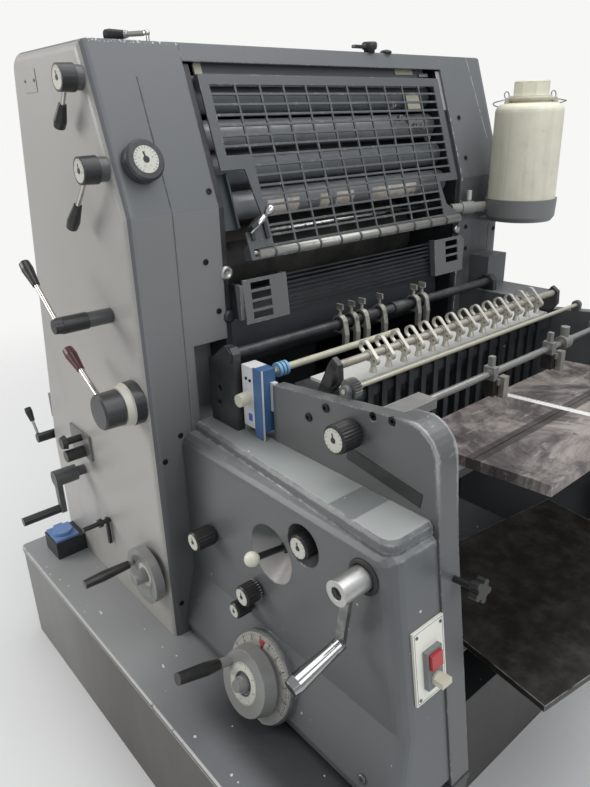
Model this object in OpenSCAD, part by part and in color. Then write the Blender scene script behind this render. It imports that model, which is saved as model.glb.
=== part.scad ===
// Single-colour sheet-fed offset press with its feeder.
// +X points to the feeder end, the operator stands on the -Y side, +Z is up.
// X = 0 is the upright front of the tower, Y = 0 the centre line, Z = 0 the floor.

/* [Tower] */
// Width of the tower across the machine
tower_w = 1188; // [1140:1:1240]
// Height of the tower above the floor
tower_h = 1550; // [1530:1:1600]
// Length of the flat top from front to rear
top_len = 335; // [310:1:360]
// Height of the slanted front
front_h = 298; // [290:1:310]
// How far the slanted front leans back
front_lean = 102; // [95:1:110]
// How far the rear leans out below the top
rear_lean = 160; // [140:1:180]
// Height where the leaning rear turns upright
rear_fold_z = 620; // [580:1:660]
// Width of each side cover seen from the feeder
cover_w = 202; // [196:1:208]
// Radius of the side covers' outer edges
cover_edge_r = 18; // [10:1:24]
// Radius of the far cover's outer edges
far_edge_r = 34; // [33:1:35]
// Radius of the rounded rear top corner
rear_top_r = 40; // [25:1:55]
// Thickness of the top and rear covers
cover_t = 18; // [12:1:24]
// Depth of the front lip below the tower's top
top_lip = 33; // [30:1:40]
// Thickness of the cast inner frames
inner_t = 16; // [12:1:18]

/* [Base] */
// Height of the cast base
base_h = 296; // [280:1:300]
// How far the base steps out on the operator side
step_w = 139; // [120:1:160]
// Distance from the tower's front to the base's rear end
base_rear = 622; // [610:1:640]
// Height of the base's lid
base_lid = 16; // [10:1:24]
// Reveal between the lid and the base's wall
lid_reveal = 2; // [1:0.5:4]

/* [Feeder housing] */
// Distance from the centre line to the housing's front face
housing_y = 527; // [520:1:532]
// Height of the housing's flat top
housing_z = 801; // [795:1:806]
// Length of the housing at its top
housing_len = 588; // [580:1:596]
// Lean of the housing's end face, run over rise
end_lean = 0.13; // [0.11:0.002:0.15]
// Radius of the housing's outer edges
housing_r = 26; // [15:1:30]
// How far the foot of the housing flares out
flare = 36; // [20:1:44]
// Height of the raised pad on the housing
pad_h = 19; // [14:1:22]

/* [Feeder frames] */
// Distance from the centre line to the frames' outer faces
frame_y = 420; // [414:1:426]
// Thickness of the frame plates
frame_t = 28; // [24:1:30]
// Height of the frame's top edge at its tower end
frame_z0 = 937; // [930:1:944]
// Rise of the frame's top edge, rise over run
frame_rise = 0.116; // [0.1:0.002:0.13]
// Distance from the tower to the frame's raised part
frame_x0 = 184; // [180:1:190]
// Radius of the frame's upper corner
frame_corner_r = 60; // [40:1:70]
// Width of the rim along the frame's end
rim_w = 26; // [20:1:30]
// Depth of that rim inside the plate
rim_d = 22; // [16:1:24]

/* [Boards] */
// Tilt of the feed board in degrees
feed_tilt = 4; // [2:0.5:5]
// Height of the feed board's top at its reference point
feed_z = 875; // [868:1:880]
// Length of the feed board
feed_len = 294; // [280:1:300]
// Width of the feed board
feed_w = 580; // [560:1:600]
// Thickness of the feed board
board_t = 20; // [16:1:24]
// Height of the delivery board's top
delivery_z = 462; // [440:1:480]
// Length of the delivery board
delivery_len = 430; // [400:1:440]
// Width of the delivery board
delivery_w = 560; // [540:1:570]
// Turn of the loose delivery board in degrees
delivery_turn = 8; // [0:1:9]
// Thickness of the delivery board
delivery_t = 14; // [12:1:18]

/* [Cylinders and rollers] */
// Radius of the plate and blanket cylinders
cylinder_r = 86; // [82:1:87]
// Radius of the ink rollers
roller_r = 30; // [26:1:31]
// Distance from one ink roller to the next
roller_pitch = 70; // [68:1:72]
// Radius of the journals
journal_r = 12; // [10:1:14]
// Running clearance of a journal in its hole
journal_gap = 0.1; // [0.05:0.01:0.2]

/* [Guard] */
// Half width of the grille guard
guard_half_w = 368; // [360:1:372]
// Distance of the guard's top edge below the tower's top
guard_below = 56; // [52:1:60]
// Height of the guard from its top edge to its lower edge
guard_h = 348; // [340:1:354]
// Thickness of the guard plate
guard_t = 4; // [3:0.5:6]
// Columns of openings in the grille
guard_cols = 11; // [9:1:12]
// Rows of openings in the grille
guard_rows = 17; // [13:1:18]
// Width of the bars between openings
guard_bar = 4.5; // [4:0.5:6]
// Radius of the roller along the guard's edge
guard_roller_r = 9; // [6:0.5:10]

/* [Suction bar] */
// Number of suckers
suckers = 14; // [10:1:15]
// Spacing of the suckers
sucker_pitch = 43.7; // [40:0.1:45]
// Radius of the suction tube
suction_tube_r = 8; // [7:0.5:9]
// Height of the suction tube above the floor
suction_z = 997; // [993:1:1002]
// Distance of the suction tube from the tower's front
suction_x = 309; // [305:1:313]

/* [Controls] */
// Radius of the hand wheel on the tower
hand_wheel_r = 67; // [55:1:72]
// Radius of the large wheel on the housing
feed_wheel_r = 72; // [60:1:76]
// Length of the winding crank's arm
crank_arm = 130; // [115:1:136]
// Radius of the round dial on the slanted front
dial_r = 38; // [30:1:44]
// Length of the first lever
lever1_len = 99; // [90:1:106]
// Length of the second lever
lever2_len = 150; // [136:1:156]
// Length of the third lever
lever3_len = 168; // [150:1:175]
// Length of the fourth lever
lever4_len = 212; // [190:1:220]

/* [Tank] */
// Radius of the bottle
tank_r = 88; // [80:1:92]
// Height of the bottle from the cup's underside to its shoulder
tank_h = 289; // [260:1:310]
// Depth of the cup's underside below the fold
tank_below = 111; // [100:1:120]
// Height of the cup
tank_cup_h = 57; // [50:1:66]

/* [Hidden] */
$fn = 48;

// Clearances
seat_gap = 0.4;
over = 1;

// Tower
half_w = tower_w / 2;
fold_z = tower_h - front_h;
guard_top_z = tower_h - guard_below;
guard_low_z = guard_top_z - guard_h;
open_y = half_w - cover_w;
inner_y = open_y - inner_t;
top_front_x = -front_lean;
top_rear_x = -front_lean - top_len;
rear_foot_x = top_rear_x - rear_lean;
slant = front_lean / (tower_h - fold_z);
slant_deg = atan(slant);
rear_slope = rear_lean / (tower_h - rear_fold_z);
function slant_x(z) = -(z - fold_z) * slant;
function rear_x(z) = top_rear_x - (tower_h - z) * rear_slope;
function arc_pts(cx, cy, r, a0, a1, n) =
    [for (i = [0:n]) [cx + r * cos(a0 + (a1 - a0) * i / n), cy + r * sin(a0 + (a1 - a0) * i / n)]];

// Feeder
function end_x(z) = housing_len + end_lean * (housing_z - 11 - z);
function frame_top(x) = frame_z0 + (x - frame_x0) * frame_rise;
frame_in = frame_y - frame_t;
pad_z = housing_z + pad_h;
frame_end_x = housing_len - 6;
foot_z = base_h + 16;
base_step_x = end_x(base_h) + 6;
base_front_x = housing_len - 28;
step_y = half_w + step_w;

// Colours
grey_side = [0.60, 0.58, 0.55];
grey_dark = [0.33, 0.34, 0.35];
grey_mid = [0.42, 0.43, 0.44];
black = [0.09, 0.09, 0.10];
steel = [0.70, 0.70, 0.68];
cream = [0.82, 0.81, 0.70];

// A cylinder that points away from the operator-side face
module outward(x, y, z, r, len, r2 = -1) {
    translate([x, y, z])
        rotate([90, 0, 0])
            cylinder(r1 = r, r2 = r2 < 0 ? r : r2, h = len);
}

// A cylinder across the machine from y0 to y1
module across(x, z, r, y0, y1) {
    translate([x, y0, z])
        rotate([-90, 0, 0])
            cylinder(r = r, h = y1 - y0);
}

// A block given by its two corners
module block(a, b) {
    translate(a)
        cube(b - a);
}

// The tower's outline seen from the side, down to z_low
module tower_outline(z_low) {
    polygon(concat(
        [[0, z_low], [0, fold_z], [top_front_x, tower_h]],
        arc_pts(top_rear_x + rear_top_r, tower_h - rear_top_r, rear_top_r, 90, 170, 6),
        [[rear_foot_x, rear_fold_z], [rear_foot_x, z_low]]));
}

// A side cover whose outer edges are rounded, on the side given by -1 or 1
skin = 0.1;
module side_cover(side, edge_r) {
    steps = 4;
    difference() {
        hull() {
            for (i = [0:steps]) {
                a = 90 * i / steps;
                translate([0, side * (half_w - edge_r * (1 - sin(a))) + (side > 0 ? 0 : skin), 0])
                    rotate([90, 0, 0])
                        linear_extrude(skin)
                            offset(delta = -edge_r * (1 - cos(a)))
                                tower_outline(base_h - 2 * edge_r);
            }
            translate([0, side * open_y + (side > 0 ? skin : 0), 0])
                rotate([90, 0, 0])
                    linear_extrude(skin)
                        tower_outline(base_h - 2 * edge_r);
        }
        translate([rear_foot_x - over, side > 0 ? 0 : -half_w - over, base_h - 3 * edge_r])
            cube([-rear_foot_x + 2 * over, half_w + over, 3 * edge_r]);
    }
}

// Notch low on the cover's inner front edge, where the castings pass
notch_w = 84;
notch_z = 985;
notch_d = 70;
seam_w = 2;
seam_y = 496;
far_seam_y = 531;

module operator_cover() {
    color(grey_side)
        difference() {
            side_cover(-1, cover_edge_r);
            block([-notch_d, -open_y - notch_w, pad_z - 4], [over, -open_y + over, notch_z]);
            block([-seam_w, -seam_y - seam_w, base_h - over], [over, -seam_y, fold_z]);
            translate([0, -seam_y - seam_w, fold_z])
                rotate([0, -slant_deg, 0])
                    translate([-seam_w, 0, -over])
                        cube([seam_w + over, seam_w, front_h * 0.84]);
        }
}

module far_cover() {
    color(grey_mid)
        difference() {
            side_cover(1, far_edge_r);
            block([-seam_w, far_seam_y, base_h - over], [over, far_seam_y + seam_w, fold_z - 110]);
        }
}

// The top cover bridges the side covers, turns down at the front and carries the plate behind its lip
lip_z = tower_h - top_lip;
shield_back = 25;
shield_low_z = guard_top_z - 20;
shield_top_z = tower_h - cover_t + 4;
shield_half_w = guard_half_w - 18;
module top_cover() {
    color(grey_mid)
        translate([0, open_y, 0])
            rotate([90, 0, 0])
                linear_extrude(2 * open_y)
                    polygon(concat(
                        [[slant_x(lip_z), lip_z], [top_front_x, tower_h]],
                        arc_pts(top_rear_x + rear_top_r, tower_h - rear_top_r, rear_top_r, 90, 170, 6),
                        [[rear_x(lip_z - 10), lip_z - 10], [rear_x(lip_z - 10) + cover_t, lip_z - 10],
                         [top_rear_x + rear_top_r + 4, tower_h - cover_t],
                         [top_front_x - cover_t, tower_h - cover_t],
                         [slant_x(lip_z) - cover_t, lip_z]]));
    color(grey_dark)
        translate([0, shield_half_w, 0])
            rotate([90, 0, 0])
                linear_extrude(2 * shield_half_w)
                    polygon([[slant_x(shield_top_z) - shield_back, shield_top_z],
                        [slant_x(shield_top_z) - shield_back - 3, shield_top_z],
                        [slant_x(shield_low_z) - shield_back - 3, shield_low_z],
                        [slant_x(shield_low_z) - shield_back, shield_low_z]]);
}

// The rear cover closes the back between the side covers
module rear_cover() {
    color(grey_dark)
        translate([0, open_y, 0])
            rotate([90, 0, 0])
                linear_extrude(2 * open_y)
                    polygon([[rear_x(lip_z - 10), lip_z - 10], [rear_foot_x, rear_fold_z],
                        [rear_foot_x, base_h], [rear_foot_x + cover_t, base_h],
                        [rear_foot_x + cover_t, rear_fold_z], [rear_x(lip_z - 10) + cover_t, lip_z - 10]]);
}

// Inner frames, set back from the front, with the journal holes
frame_back = 6;
hinge_back = 14;
guard_drop = 7;
hinge_z = guard_top_z - guard_drop;
hinge_x = slant_x(guard_top_z) - hinge_back;
hinge_r = 6;
roller_back = 36;
roller_top_z = tower_h - 98;
function roller_z(i) = roller_top_z - i * roller_pitch;
function roller_x(i) = slant_x(roller_z(i)) - (roller_back + roller_r) / cos(slant_deg);
plate_x = -238;
plate_z = guard_low_z - 51;
cylinder_gap = 5;
blanket_turn = 55;
blanket_x = plate_x + (2 * cylinder_r + cylinder_gap) * cos(blanket_turn);
blanket_z = plate_z - (2 * cylinder_r + cylinder_gap) * sin(blanket_turn);
inner_top_z = lip_z - 4;

module inner_outline() {
    polygon([[-frame_back, base_h], [-frame_back, fold_z], [slant_x(inner_top_z) - frame_back, inner_top_z],
        [rear_x(inner_top_z) + cover_t + frame_back, inner_top_z],
        [rear_foot_x + cover_t + frame_back, rear_fold_z], [rear_foot_x + cover_t + frame_back, base_h]]);
}

module journal_hole(x, z, r) {
    across(x, z, r, -open_y - over, open_y + over);
}

module inner_frames() {
    color(black)
        difference() {
            for (side = [-1, 1])
                translate([0, side > 0 ? open_y : -inner_y, 0])
                    rotate([90, 0, 0])
                        linear_extrude(inner_t)
                            inner_outline();
            for (i = [0:3])
                journal_hole(roller_x(i), roller_z(i), journal_r + journal_gap);
            journal_hole(plate_x, plate_z, journal_r + journal_gap);
            journal_hole(blanket_x, blanket_z, journal_r + journal_gap);
            journal_hole(hinge_x, hinge_z, hinge_r + journal_gap);
        }
}

// Base: a cast box with an overhanging lid, wider on the operator side
base_corner_r = 14;
module base_outline(inset) {
    r = base_corner_r;
    polygon(concat(
        arc_pts(-base_rear + inset + r, -step_y + inset + r, r, 180, 270, 5),
        arc_pts(base_step_x - inset - r, -step_y + inset + r, r, 270, 360, 5),
        [[base_step_x - inset, -frame_in + rim_d - inset], [base_front_x - inset, -frame_in + rim_d - inset],
         [base_front_x - inset, frame_in - rim_d + inset], [base_step_x - inset, frame_in - rim_d + inset]],
        arc_pts(base_step_x - inset - r, half_w - inset - r, r, 0, 90, 5),
        arc_pts(-base_rear + inset + r, half_w - inset - r, r, 90, 180, 5)));
}

module base_plinth() {
    color(grey_mid) {
        linear_extrude(base_h - base_lid)
            base_outline(lid_reveal);
        translate([0, 0, base_h - base_lid])
            linear_extrude(base_lid)
                base_outline(0);
    }
}

// Slatted guard between two slotted brackets, under the grille
bracket_top_z = guard_low_z - 38;
bracket_h = 92;
bracket_low_z = bracket_top_z - bracket_h;
bracket_x = 30;
bracket_lean = 0.11;
bracket_w = 116;
bracket_in = 9;
slot_w = 52;
slot_h = 15;
slot_pitch = 20.5;
slat_pitch = 9.6;
slat_gap = 5.4;
slats = 8;
bracket_deg = atan(bracket_lean);
slat_half_w = inner_y - bracket_in - bracket_w + 10;

module lower_guard() {
    color(grey_mid)
        translate([bracket_x, 0, bracket_top_z])
            rotate([0, -bracket_deg, 0])
                translate([0, 0, -bracket_h]) {
                    for (side = [-1, 1])
                        difference() {
                            translate([-4, side > 0 ? inner_y - bracket_in - bracket_w : -inner_y + bracket_in, 0])
                                cube([4, bracket_w, bracket_h]);
                            for (i = [side > 0 ? 1 : 0:3])
                                translate([-4 - over, side * (inner_y - bracket_in - 19 - slot_w / 2) - slot_w / 2,
                                    8 + i * slot_pitch])
                                    cube([4 + 2 * over, slot_w, slot_h]);
                        }
                    difference() {
                        translate([-22, -slat_half_w, 6])
                            cube([4, 2 * slat_half_w, bracket_h - 12]);
                        for (i = [0:slats - 1])
                            translate([-22 - over, -slat_half_w + 12, 10 + i * slat_pitch])
                                cube([4 + 2 * over, 2 * slat_half_w - 24, slat_gap]);
                    }
                    for (side = [-1, 1])
                        translate([-22, side > 0 ? slat_half_w - 10 : -slat_half_w, 0])
                            cube([22, 10, bracket_h]);
                }
    color(black)
        for (side = [-1, 1])
            block([-frame_back - 0.01, side > 0 ? inner_y - 10 : -inner_y, bracket_low_z + 10],
                [bracket_x + 2, side > 0 ? inner_y : -inner_y + 10, bracket_top_z - 10]);
}

// Feeder housing: a rounded box with a flared foot, a pad and two recesses
bowl_x = housing_len * 0.5;
bowl_z = 658;
bowl_r = 61;
bowl_depth = 50;
cup_x = housing_len * 0.658;
cup_z = 726;
cup_r = 41;
cup_depth = 45;
flare_top_z = base_h + 174;
flare_low_z = base_h + 36;
pad_front_y = 490;
pad_len = housing_len - 7;

function rounded_end(x1, y1, r) =
    concat([[0, -frame_y], [0, -y1]], arc_pts(x1 - r, -y1 + r, r, -90, 0, 5), [[x1, -frame_y]]);

module housing_shell() {
    steps = 4;
    hull()
        for (i = [0:steps]) {
            a = 90 * i / steps;
            inset = housing_r * (1 - cos(a));
            translate([0, -housing_y + housing_r * (1 - sin(a)) + skin, 0])
                rotate([90, 0, 0])
                    linear_extrude(skin)
                        polygon([[0, foot_z], [end_x(foot_z) - inset, foot_z],
                            [housing_len - inset, housing_z - 11 - inset / 2],
                            [housing_len - 14 - inset, housing_z - inset], [0, housing_z - inset]]);
        }
    translate([0, -frame_y, 0])
        rotate([90, 0, 0])
            linear_extrude(housing_y - frame_y - housing_r + 0.05)
                polygon([[0, foot_z], [end_x(foot_z), foot_z],
                    [housing_len, housing_z - 11], [housing_len - 14, housing_z], [0, housing_z]]);
}

module housing_flare() {
    hull() {
        translate([0, 0, flare_top_z])
            linear_extrude(0.1)
                polygon(rounded_end(end_x(flare_top_z), housing_y - 1, housing_r));
        translate([0, 0, flare_low_z])
            linear_extrude(0.1)
                polygon(rounded_end(end_x(flare_low_z), housing_y + flare, housing_r));
        translate([0, 0, foot_z])
            linear_extrude(0.1)
                polygon(rounded_end(end_x(foot_z), housing_y + flare - 3, housing_r));
    }
}

module pad() {
    hull()
        for (i = [0:2]) {
            inset = [0, 2, 8][i];
            translate([0, 0, housing_z - 2 + (pad_h + 2) * [0, 0.7, 1][i] - 0.1 * i])
                linear_extrude(0.1)
                    polygon(concat([[0, -frame_y], [0, -pad_front_y + inset]],
                        arc_pts(pad_len - 24 - inset, -pad_front_y - 6 + inset, 24, -90, 0, 5),
                        [[pad_len - inset, -frame_y]]));
        }
}

module feeder_housing() {
    color(grey_dark)
        difference() {
            union() {
                housing_shell();
                housing_flare();
                pad();
                block([0, -housing_y + 20, base_h], [end_x(base_h) - 14, -frame_y, foot_z + 1]);
                boss_on_flare();
            }
            difference() {
                outward(bowl_x, -housing_y + bowl_depth, bowl_z, 22, bowl_depth + 0.5, bowl_r);
                outward(bowl_x, -housing_y + bowl_depth + 2, bowl_z, 16, 5.6);
            }
            outward(cup_x, -housing_y + cup_depth, cup_z, cup_r - 3, cup_depth + 0.5, cup_r);
            outward(crank_x, -housing_y + 8, crank_z, 27, 9);
        }
}

// Feeder frame plate with its rim and lugs, on the side given by -1 or 1
rod_x = 360;
rod_z = 971;
rod_r = 4.5;
lug_r = 11;
corner_x = frame_end_x - frame_corner_r;
corner_z = frame_top(corner_x) - frame_corner_r;
frame_foot_x = 60;
rim_x0 = frame_end_x - 90;
frame_bump = housing_len + 2;
frame_bump_z = pad_z;
frame_holes = [frame_end_x - 136, frame_end_x - 95];

module frame_outline() {
    polygon(concat(
        [[frame_foot_x, base_h], [end_x(base_h) + 4, base_h], [end_x(housing_z - 41) + 4, housing_z - 41],
         [frame_bump, frame_bump_z]],
        arc_pts(corner_x, corner_z, frame_corner_r, 0, 83, 8),
        [[frame_x0, frame_z0], [frame_x0, pad_z], [frame_foot_x, pad_z]]));
}

module frame_rim_outline() {
    outer = concat([[end_x(base_h) + 4, base_h], [end_x(housing_z - 41) + 4, housing_z - 41],
        [frame_bump, frame_bump_z]], arc_pts(corner_x, corner_z, frame_corner_r, 0, 83, 8),
        [[rim_x0, frame_top(rim_x0)]]);
    inner = concat([[rim_x0, frame_top(rim_x0) - rim_w]],
        arc_pts(corner_x, corner_z, frame_corner_r - rim_w, 83, 0, 8),
        [[frame_bump - rim_w, frame_bump_z], [end_x(housing_z - 41) + 4 - rim_w, housing_z - 41],
         [end_x(base_h) + 4 - rim_w, base_h]]);
    polygon(concat(outer, inner));
}

module feeder_frame(side) {
    difference() {
        union() {
            translate([0, side > 0 ? frame_y : -frame_in, 0])
                rotate([90, 0, 0])
                    linear_extrude(frame_t)
                        frame_outline();
            translate([0, side > 0 ? frame_in : -frame_in + rim_d, 0])
                rotate([90, 0, 0])
                    linear_extrude(rim_d)
                        frame_rim_outline();
            across(rod_x, rod_z, lug_r, side > 0 ? frame_in : -frame_in - 10, side > 0 ? frame_in + 10 : -frame_in);
            block([rod_x - lug_r + 0.6, side > 0 ? frame_in : -frame_in - 10, frame_top(rod_x) - 30],
                [rod_x + lug_r - 0.6, side > 0 ? frame_in + 10 : -frame_in, rod_z]);
        }
        across(rod_x, rod_z, rod_r + journal_gap, -frame_y - over, frame_y + over);
    }
}

module operator_frame() {
    color(grey_dark)
        difference() {
            feeder_frame(-1);
            for (x = frame_holes)
                outward(x, -frame_y + 6, frame_top(x) - 9.2, 8, 7);
        }
}

module far_frame() {
    color(grey_dark)
        feeder_frame(1);
}

// Far housing: plain, with a raised block against the tower and a shelf on it
shelf_z = 955;
shelf_len = 215;
module far_housing() {
    color(grey_dark) {
        translate([0, housing_y, 0])
            rotate([90, 0, 0])
                linear_extrude(housing_y - frame_y)
                    polygon([[0, base_h], [end_x(base_h), base_h], [housing_len, housing_z - 11],
                        [housing_len - 14, housing_z], [0, housing_z]]);
        block([0, frame_y, housing_z - over], [shelf_len, housing_y + 20, shelf_z - 14]);
        block([0, frame_y, shelf_z - 14], [shelf_len + 6, housing_y + 26, shelf_z]);
        block([0, frame_y + 36, shelf_z - over], [62, housing_y + 14, max(shelf_z + 4, tank_cup_z - 100)]);
    }
}

// Beams and the back plate between the frames
beam_x0 = 216;
beam_x1 = 302;
beam_z = 944;
tie_x = 150;
tie_z = housing_z - 161;
module cross_members() {
    color(black) {
        block([beam_x0, -frame_in, beam_z - 40], [beam_x1, frame_in, beam_z]);
        block([frame_foot_x, -frame_in, base_h], [frame_foot_x + 14, frame_in, pad_z]);
        block([frame_foot_x, -frame_in, pad_z - 40], [beam_x0 - 90, frame_in, pad_z - 20]);
        across(tie_x, tie_z, 18, -frame_in, frame_in);
    }
}

// Upright bars that the front of the pile stands against
stop_bars = 17;
stop_pitch = 40;
stop_w = 15;
stop_t = 9;
stop_len = 250;
stop_top_z = beam_z - 5;
module pile_stop() {
    color(black) {
        block([beam_x1, -(stop_bars - 1) / 2 * stop_pitch, stop_top_z - 30],
            [beam_x1 + 3, (stop_bars - 1) / 2 * stop_pitch, stop_top_z - 12]);
        for (i = [0:stop_bars - 1])
            translate([beam_x1, (i - (stop_bars - 1) / 2) * stop_pitch - stop_w / 2, stop_top_z - stop_len])
                cube([stop_t, stop_w, stop_len]);
    }
}

// Shaft with clamps that stands in two cast brackets in front of the cylinders
shaft_x = 78;
shaft_z = 978;
shaft_r = 11;
shaft_end = 449;
clamp_w = 13;
clamp_ys = [-136, -100, -66, -6, 118, 150];
function shaft_seat(side) = (side < 0 ? pad_z : shelf_z) + seat_gap;
module clamp_shaft() {
    color(black) {
        across(shaft_x, shaft_z, shaft_r, -shaft_end, shaft_end);
        across(shaft_x, shaft_z, 15, -52, -24);
        across(shaft_x, shaft_z, 15, 40, 92);
        for (side = [-1, 1]) {
            difference() {
                translate([0, side * 440 + 9, 0])
                    rotate([90, 0, 0])
                        linear_extrude(18)
                            polygon([[8, shaft_seat(side)], [100, shaft_seat(side)],
                                [98, shaft_z + 6], [88, shaft_z + 18], [66, shaft_z + 18], [30, shaft_z - 10],
                                [8, shaft_z - 20]]);
                outward(44, side * 440 + 10, 900, 7, 20);
                outward(40, side * 440 + 10, 864, 9, 20);
            }
            across(shaft_x, shaft_z, 17, side * 440 - 12, side * 440 + 12);
        }
    }
    color(steel)
        for (y = clamp_ys) {
            translate([0, y + clamp_w / 2, 0])
                rotate([90, 0, 0])
                    linear_extrude(clamp_w)
                        polygon(concat([[shaft_x - 15, shaft_z - 20]],
                            arc_pts(shaft_x, shaft_z + 2, 19, 170, 20, 6),
                            [[shaft_x + 24, shaft_z - 22], [shaft_x + 22, shaft_z - 54],
                             [shaft_x + 13, shaft_z - 54], [shaft_x + 13, shaft_z - 20]]));
            translate([shaft_x, y, shaft_z + 18])
                cylinder(r = 4, h = 14);
            translate([shaft_x, y, shaft_z + 31])
                cylinder(r1 = 5, r2 = 6.5, h = 3);
            block([shaft_x - 10, y - 2.5, shaft_z + 33.5], [shaft_x + 10, y + 2.5, shaft_z + 46]);
        }
}

// Bright metal strip on the front beam
module sheet_strip() {
    color(steel)
        difference() {
            block([beam_x0 + 8, -suction_y + 14, beam_z], [beam_x1 + 5, suction_y - 14, beam_z + 6]);
            for (side = [-1, 1])
                translate([beam_x0 + 24, side * (suction_y - 40), beam_z - over])
                    cylinder(r = 5, h = 8);
        }
}

// Brackets that carry the suction bar at both ends
suction_y = 372;
bracket_t = 12;
module suction_brackets() {
    color(black)
        for (side = [-1, 1]) {
            difference() {
                translate([0, side * suction_y + bracket_t / 2, 0])
                    rotate([90, 0, 0])
                        linear_extrude(bracket_t)
                            polygon([[beam_x1 - 34, beam_z], [beam_x1, beam_z], [suction_x + 15, suction_z - 26],
                                [suction_x + 13, suction_z + 6], [suction_x - 3, suction_z + 17],
                                [suction_x - 14, suction_z + 2]]);
                across(suction_x, suction_z, suction_tube_r + journal_gap, side * suction_y - bracket_t,
                    side * suction_y + bracket_t);
            }
            across(suction_x - 6, suction_z - 27, 11, side > 0 ? suction_y + bracket_t / 2 - over : -suction_y - 16,
                side > 0 ? suction_y + 16 : -suction_y - bracket_t / 2 + over);
        }
}

// Suction bar: a tube with a row of suckers, each a bent link round the tube with its foot
link_t = 8;
link_wall = 3;
link_top = [-13, 15];
link_low = [15, -8];
module link_outline(top_r, low_r) {
    hull() {
        translate(link_top)
            circle(r = top_r);
        translate(link_low)
            circle(r = low_r);
    }
}

module sucker(y) {
    translate([suction_x, y, suction_z]) {
        rotate([90, 0, 0])
            translate([0, 0, -link_t / 2]) {
                linear_extrude(link_t)
                    difference() {
                        link_outline(12, 9, $fn = 20);
                        link_outline(12 - link_wall, 9 - link_wall, $fn = 16);
                    }
                linear_extrude(link_t)
                    translate(link_low)
                        difference() {
                            circle(r = 8, $fn = 20);
                            circle(r = 3, $fn = 12);
                        }
            }
        across(0, 0, suction_tube_r + 3, -link_t / 2 - 2, link_t / 2 + 2, $fn = 32);
        translate([10, 0, -20])
            cylinder(r = 5, h = 12, $fn = 16);
        translate([10, 0, -31])
            cylinder(r1 = 8, r2 = 5, h = 11.5, $fn = 16);
    }
}

module suction_bar() {
    color(steel) {
        across(suction_x, suction_z, suction_tube_r, -suction_y - bracket_t / 2, suction_y + bracket_t / 2);
        for (i = [0:suckers - 1])
            sucker((i - (suckers - 1) / 2) * sucker_pitch);
    }
}

// Thin rod with a ratchet wheel, turning in the frames' lugs
ratchet_r = 20;
ratchet_teeth = 24;
module ratchet_rod() {
    color(cream)
        across(rod_x, rod_z, rod_r, -frame_in - 12, frame_in + 12);
    color(black)
        translate([rod_x, -frame_in + seat_gap, rod_z])
            rotate([-90, 0, 0])
                linear_extrude(18)
                    polygon([for (i = [0:2 * ratchet_teeth - 1])
                        let (r = i % 2 == 0 ? ratchet_r : ratchet_r - 3, a = 180 * i / ratchet_teeth)
                        [r * cos(a), r * sin(a)]]);
}

// Rod over the feed board with its two blocks, hangers and a clamp
lay_x = frame_end_x - 120;
lay_z = 956;
lay_r = 7;
module lay_rod() {
    color(steel)
        across(lay_x, lay_z, lay_r, -330, 330);
    color(grey_dark)
        for (side = [-1, 1])
            block([lay_x - 20, side > 0 ? 300 : -frame_in + seat_gap, lay_z - 8],
                [lay_x + 20, side > 0 ? frame_in - seat_gap : -300, lay_z + 10]);
    color(grey_mid) {
        for (y = [-112, 96]) {
            block([lay_x - 12, y - 7, lay_z - 44], [lay_x + 12, y + 7, lay_z + 14]);
            block([lay_x - 5, y - 5, lay_z + 12], [lay_x + 5, y + 5, lay_z + 34]);
            block([lay_x + 10, y + 10, lay_z - 48], [lay_x + 24, y + 26, lay_z - 6]);
            block([lay_x - 4, y + 2, lay_z - 22], [lay_x + 16, y + 14, lay_z - 10]);
        }
    }
    color(black) {
        across(lay_x, lay_z, 15, 142, 166);
        translate([lay_x, 154, lay_z + 12])
            cylinder(r = 9, h = 22);
    }
}

// Guide rails for both boards, fixed inside the frames
feed_ref_x = housing_len - 26;
rail_t = 10;
rail_d = 24;
carrier_x0 = -78;
carrier_w = 44;
deliv_rail_x = housing_len - 88;
module feed_place() {
    translate([feed_ref_x, 0, feed_z])
        rotate([0, -feed_tilt, 0])
            children();
}

module board_guides() {
    color(black)
        for (side = [-1, 1]) {
            for (x = [carrier_x0 - seat_gap - rail_t, carrier_x0 + carrier_w + seat_gap])
                feed_place()
                    translate([x, side > 0 ? frame_in - rail_d : -frame_in, -300])
                        cube([rail_t, rail_d, 300]);
            for (x = [deliv_rail_x - seat_gap - rail_t, deliv_rail_x + carrier_w + seat_gap])
                translate([x, side > 0 ? frame_in - rail_d : -frame_in, base_h + 4])
                    cube([rail_t, rail_d, 236]);
        }
}

// Feed board: a steel board on a carrier that rides in the rails
feed_back = 158;
module feed_board() {
    color([0.30, 0.24, 0.22])
        feed_place()
            difference() {
                translate([-feed_back, -feed_w / 2, -board_t])
                    cube([feed_len, feed_w, board_t]);
                translate([-8, -feed_w / 2 - over, -2])
                    cube([3, feed_w + 2 * over, 3]);
            }
    color(black)
        feed_place()
            translate([carrier_x0, -frame_in + seat_gap, -board_t - 26])
                cube([carrier_w, 2 * (frame_in - seat_gap), 26]);
}

// Delivery board: a loose board on its carrier
deliv_x = housing_len - 22;
deliv_y = 20;
module delivery_board() {
    color(black) {
        translate([deliv_x, deliv_y, delivery_z - delivery_t])
            rotate([0, 0, -delivery_turn])
                translate([-delivery_len / 2, -delivery_w / 2, 0])
                    cube([delivery_len, delivery_w, delivery_t]);
        translate([deliv_rail_x, -frame_in + seat_gap, delivery_z - delivery_t - 30])
            cube([carrier_w, 2 * (frame_in - seat_gap), 30]);
    }
}

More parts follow.
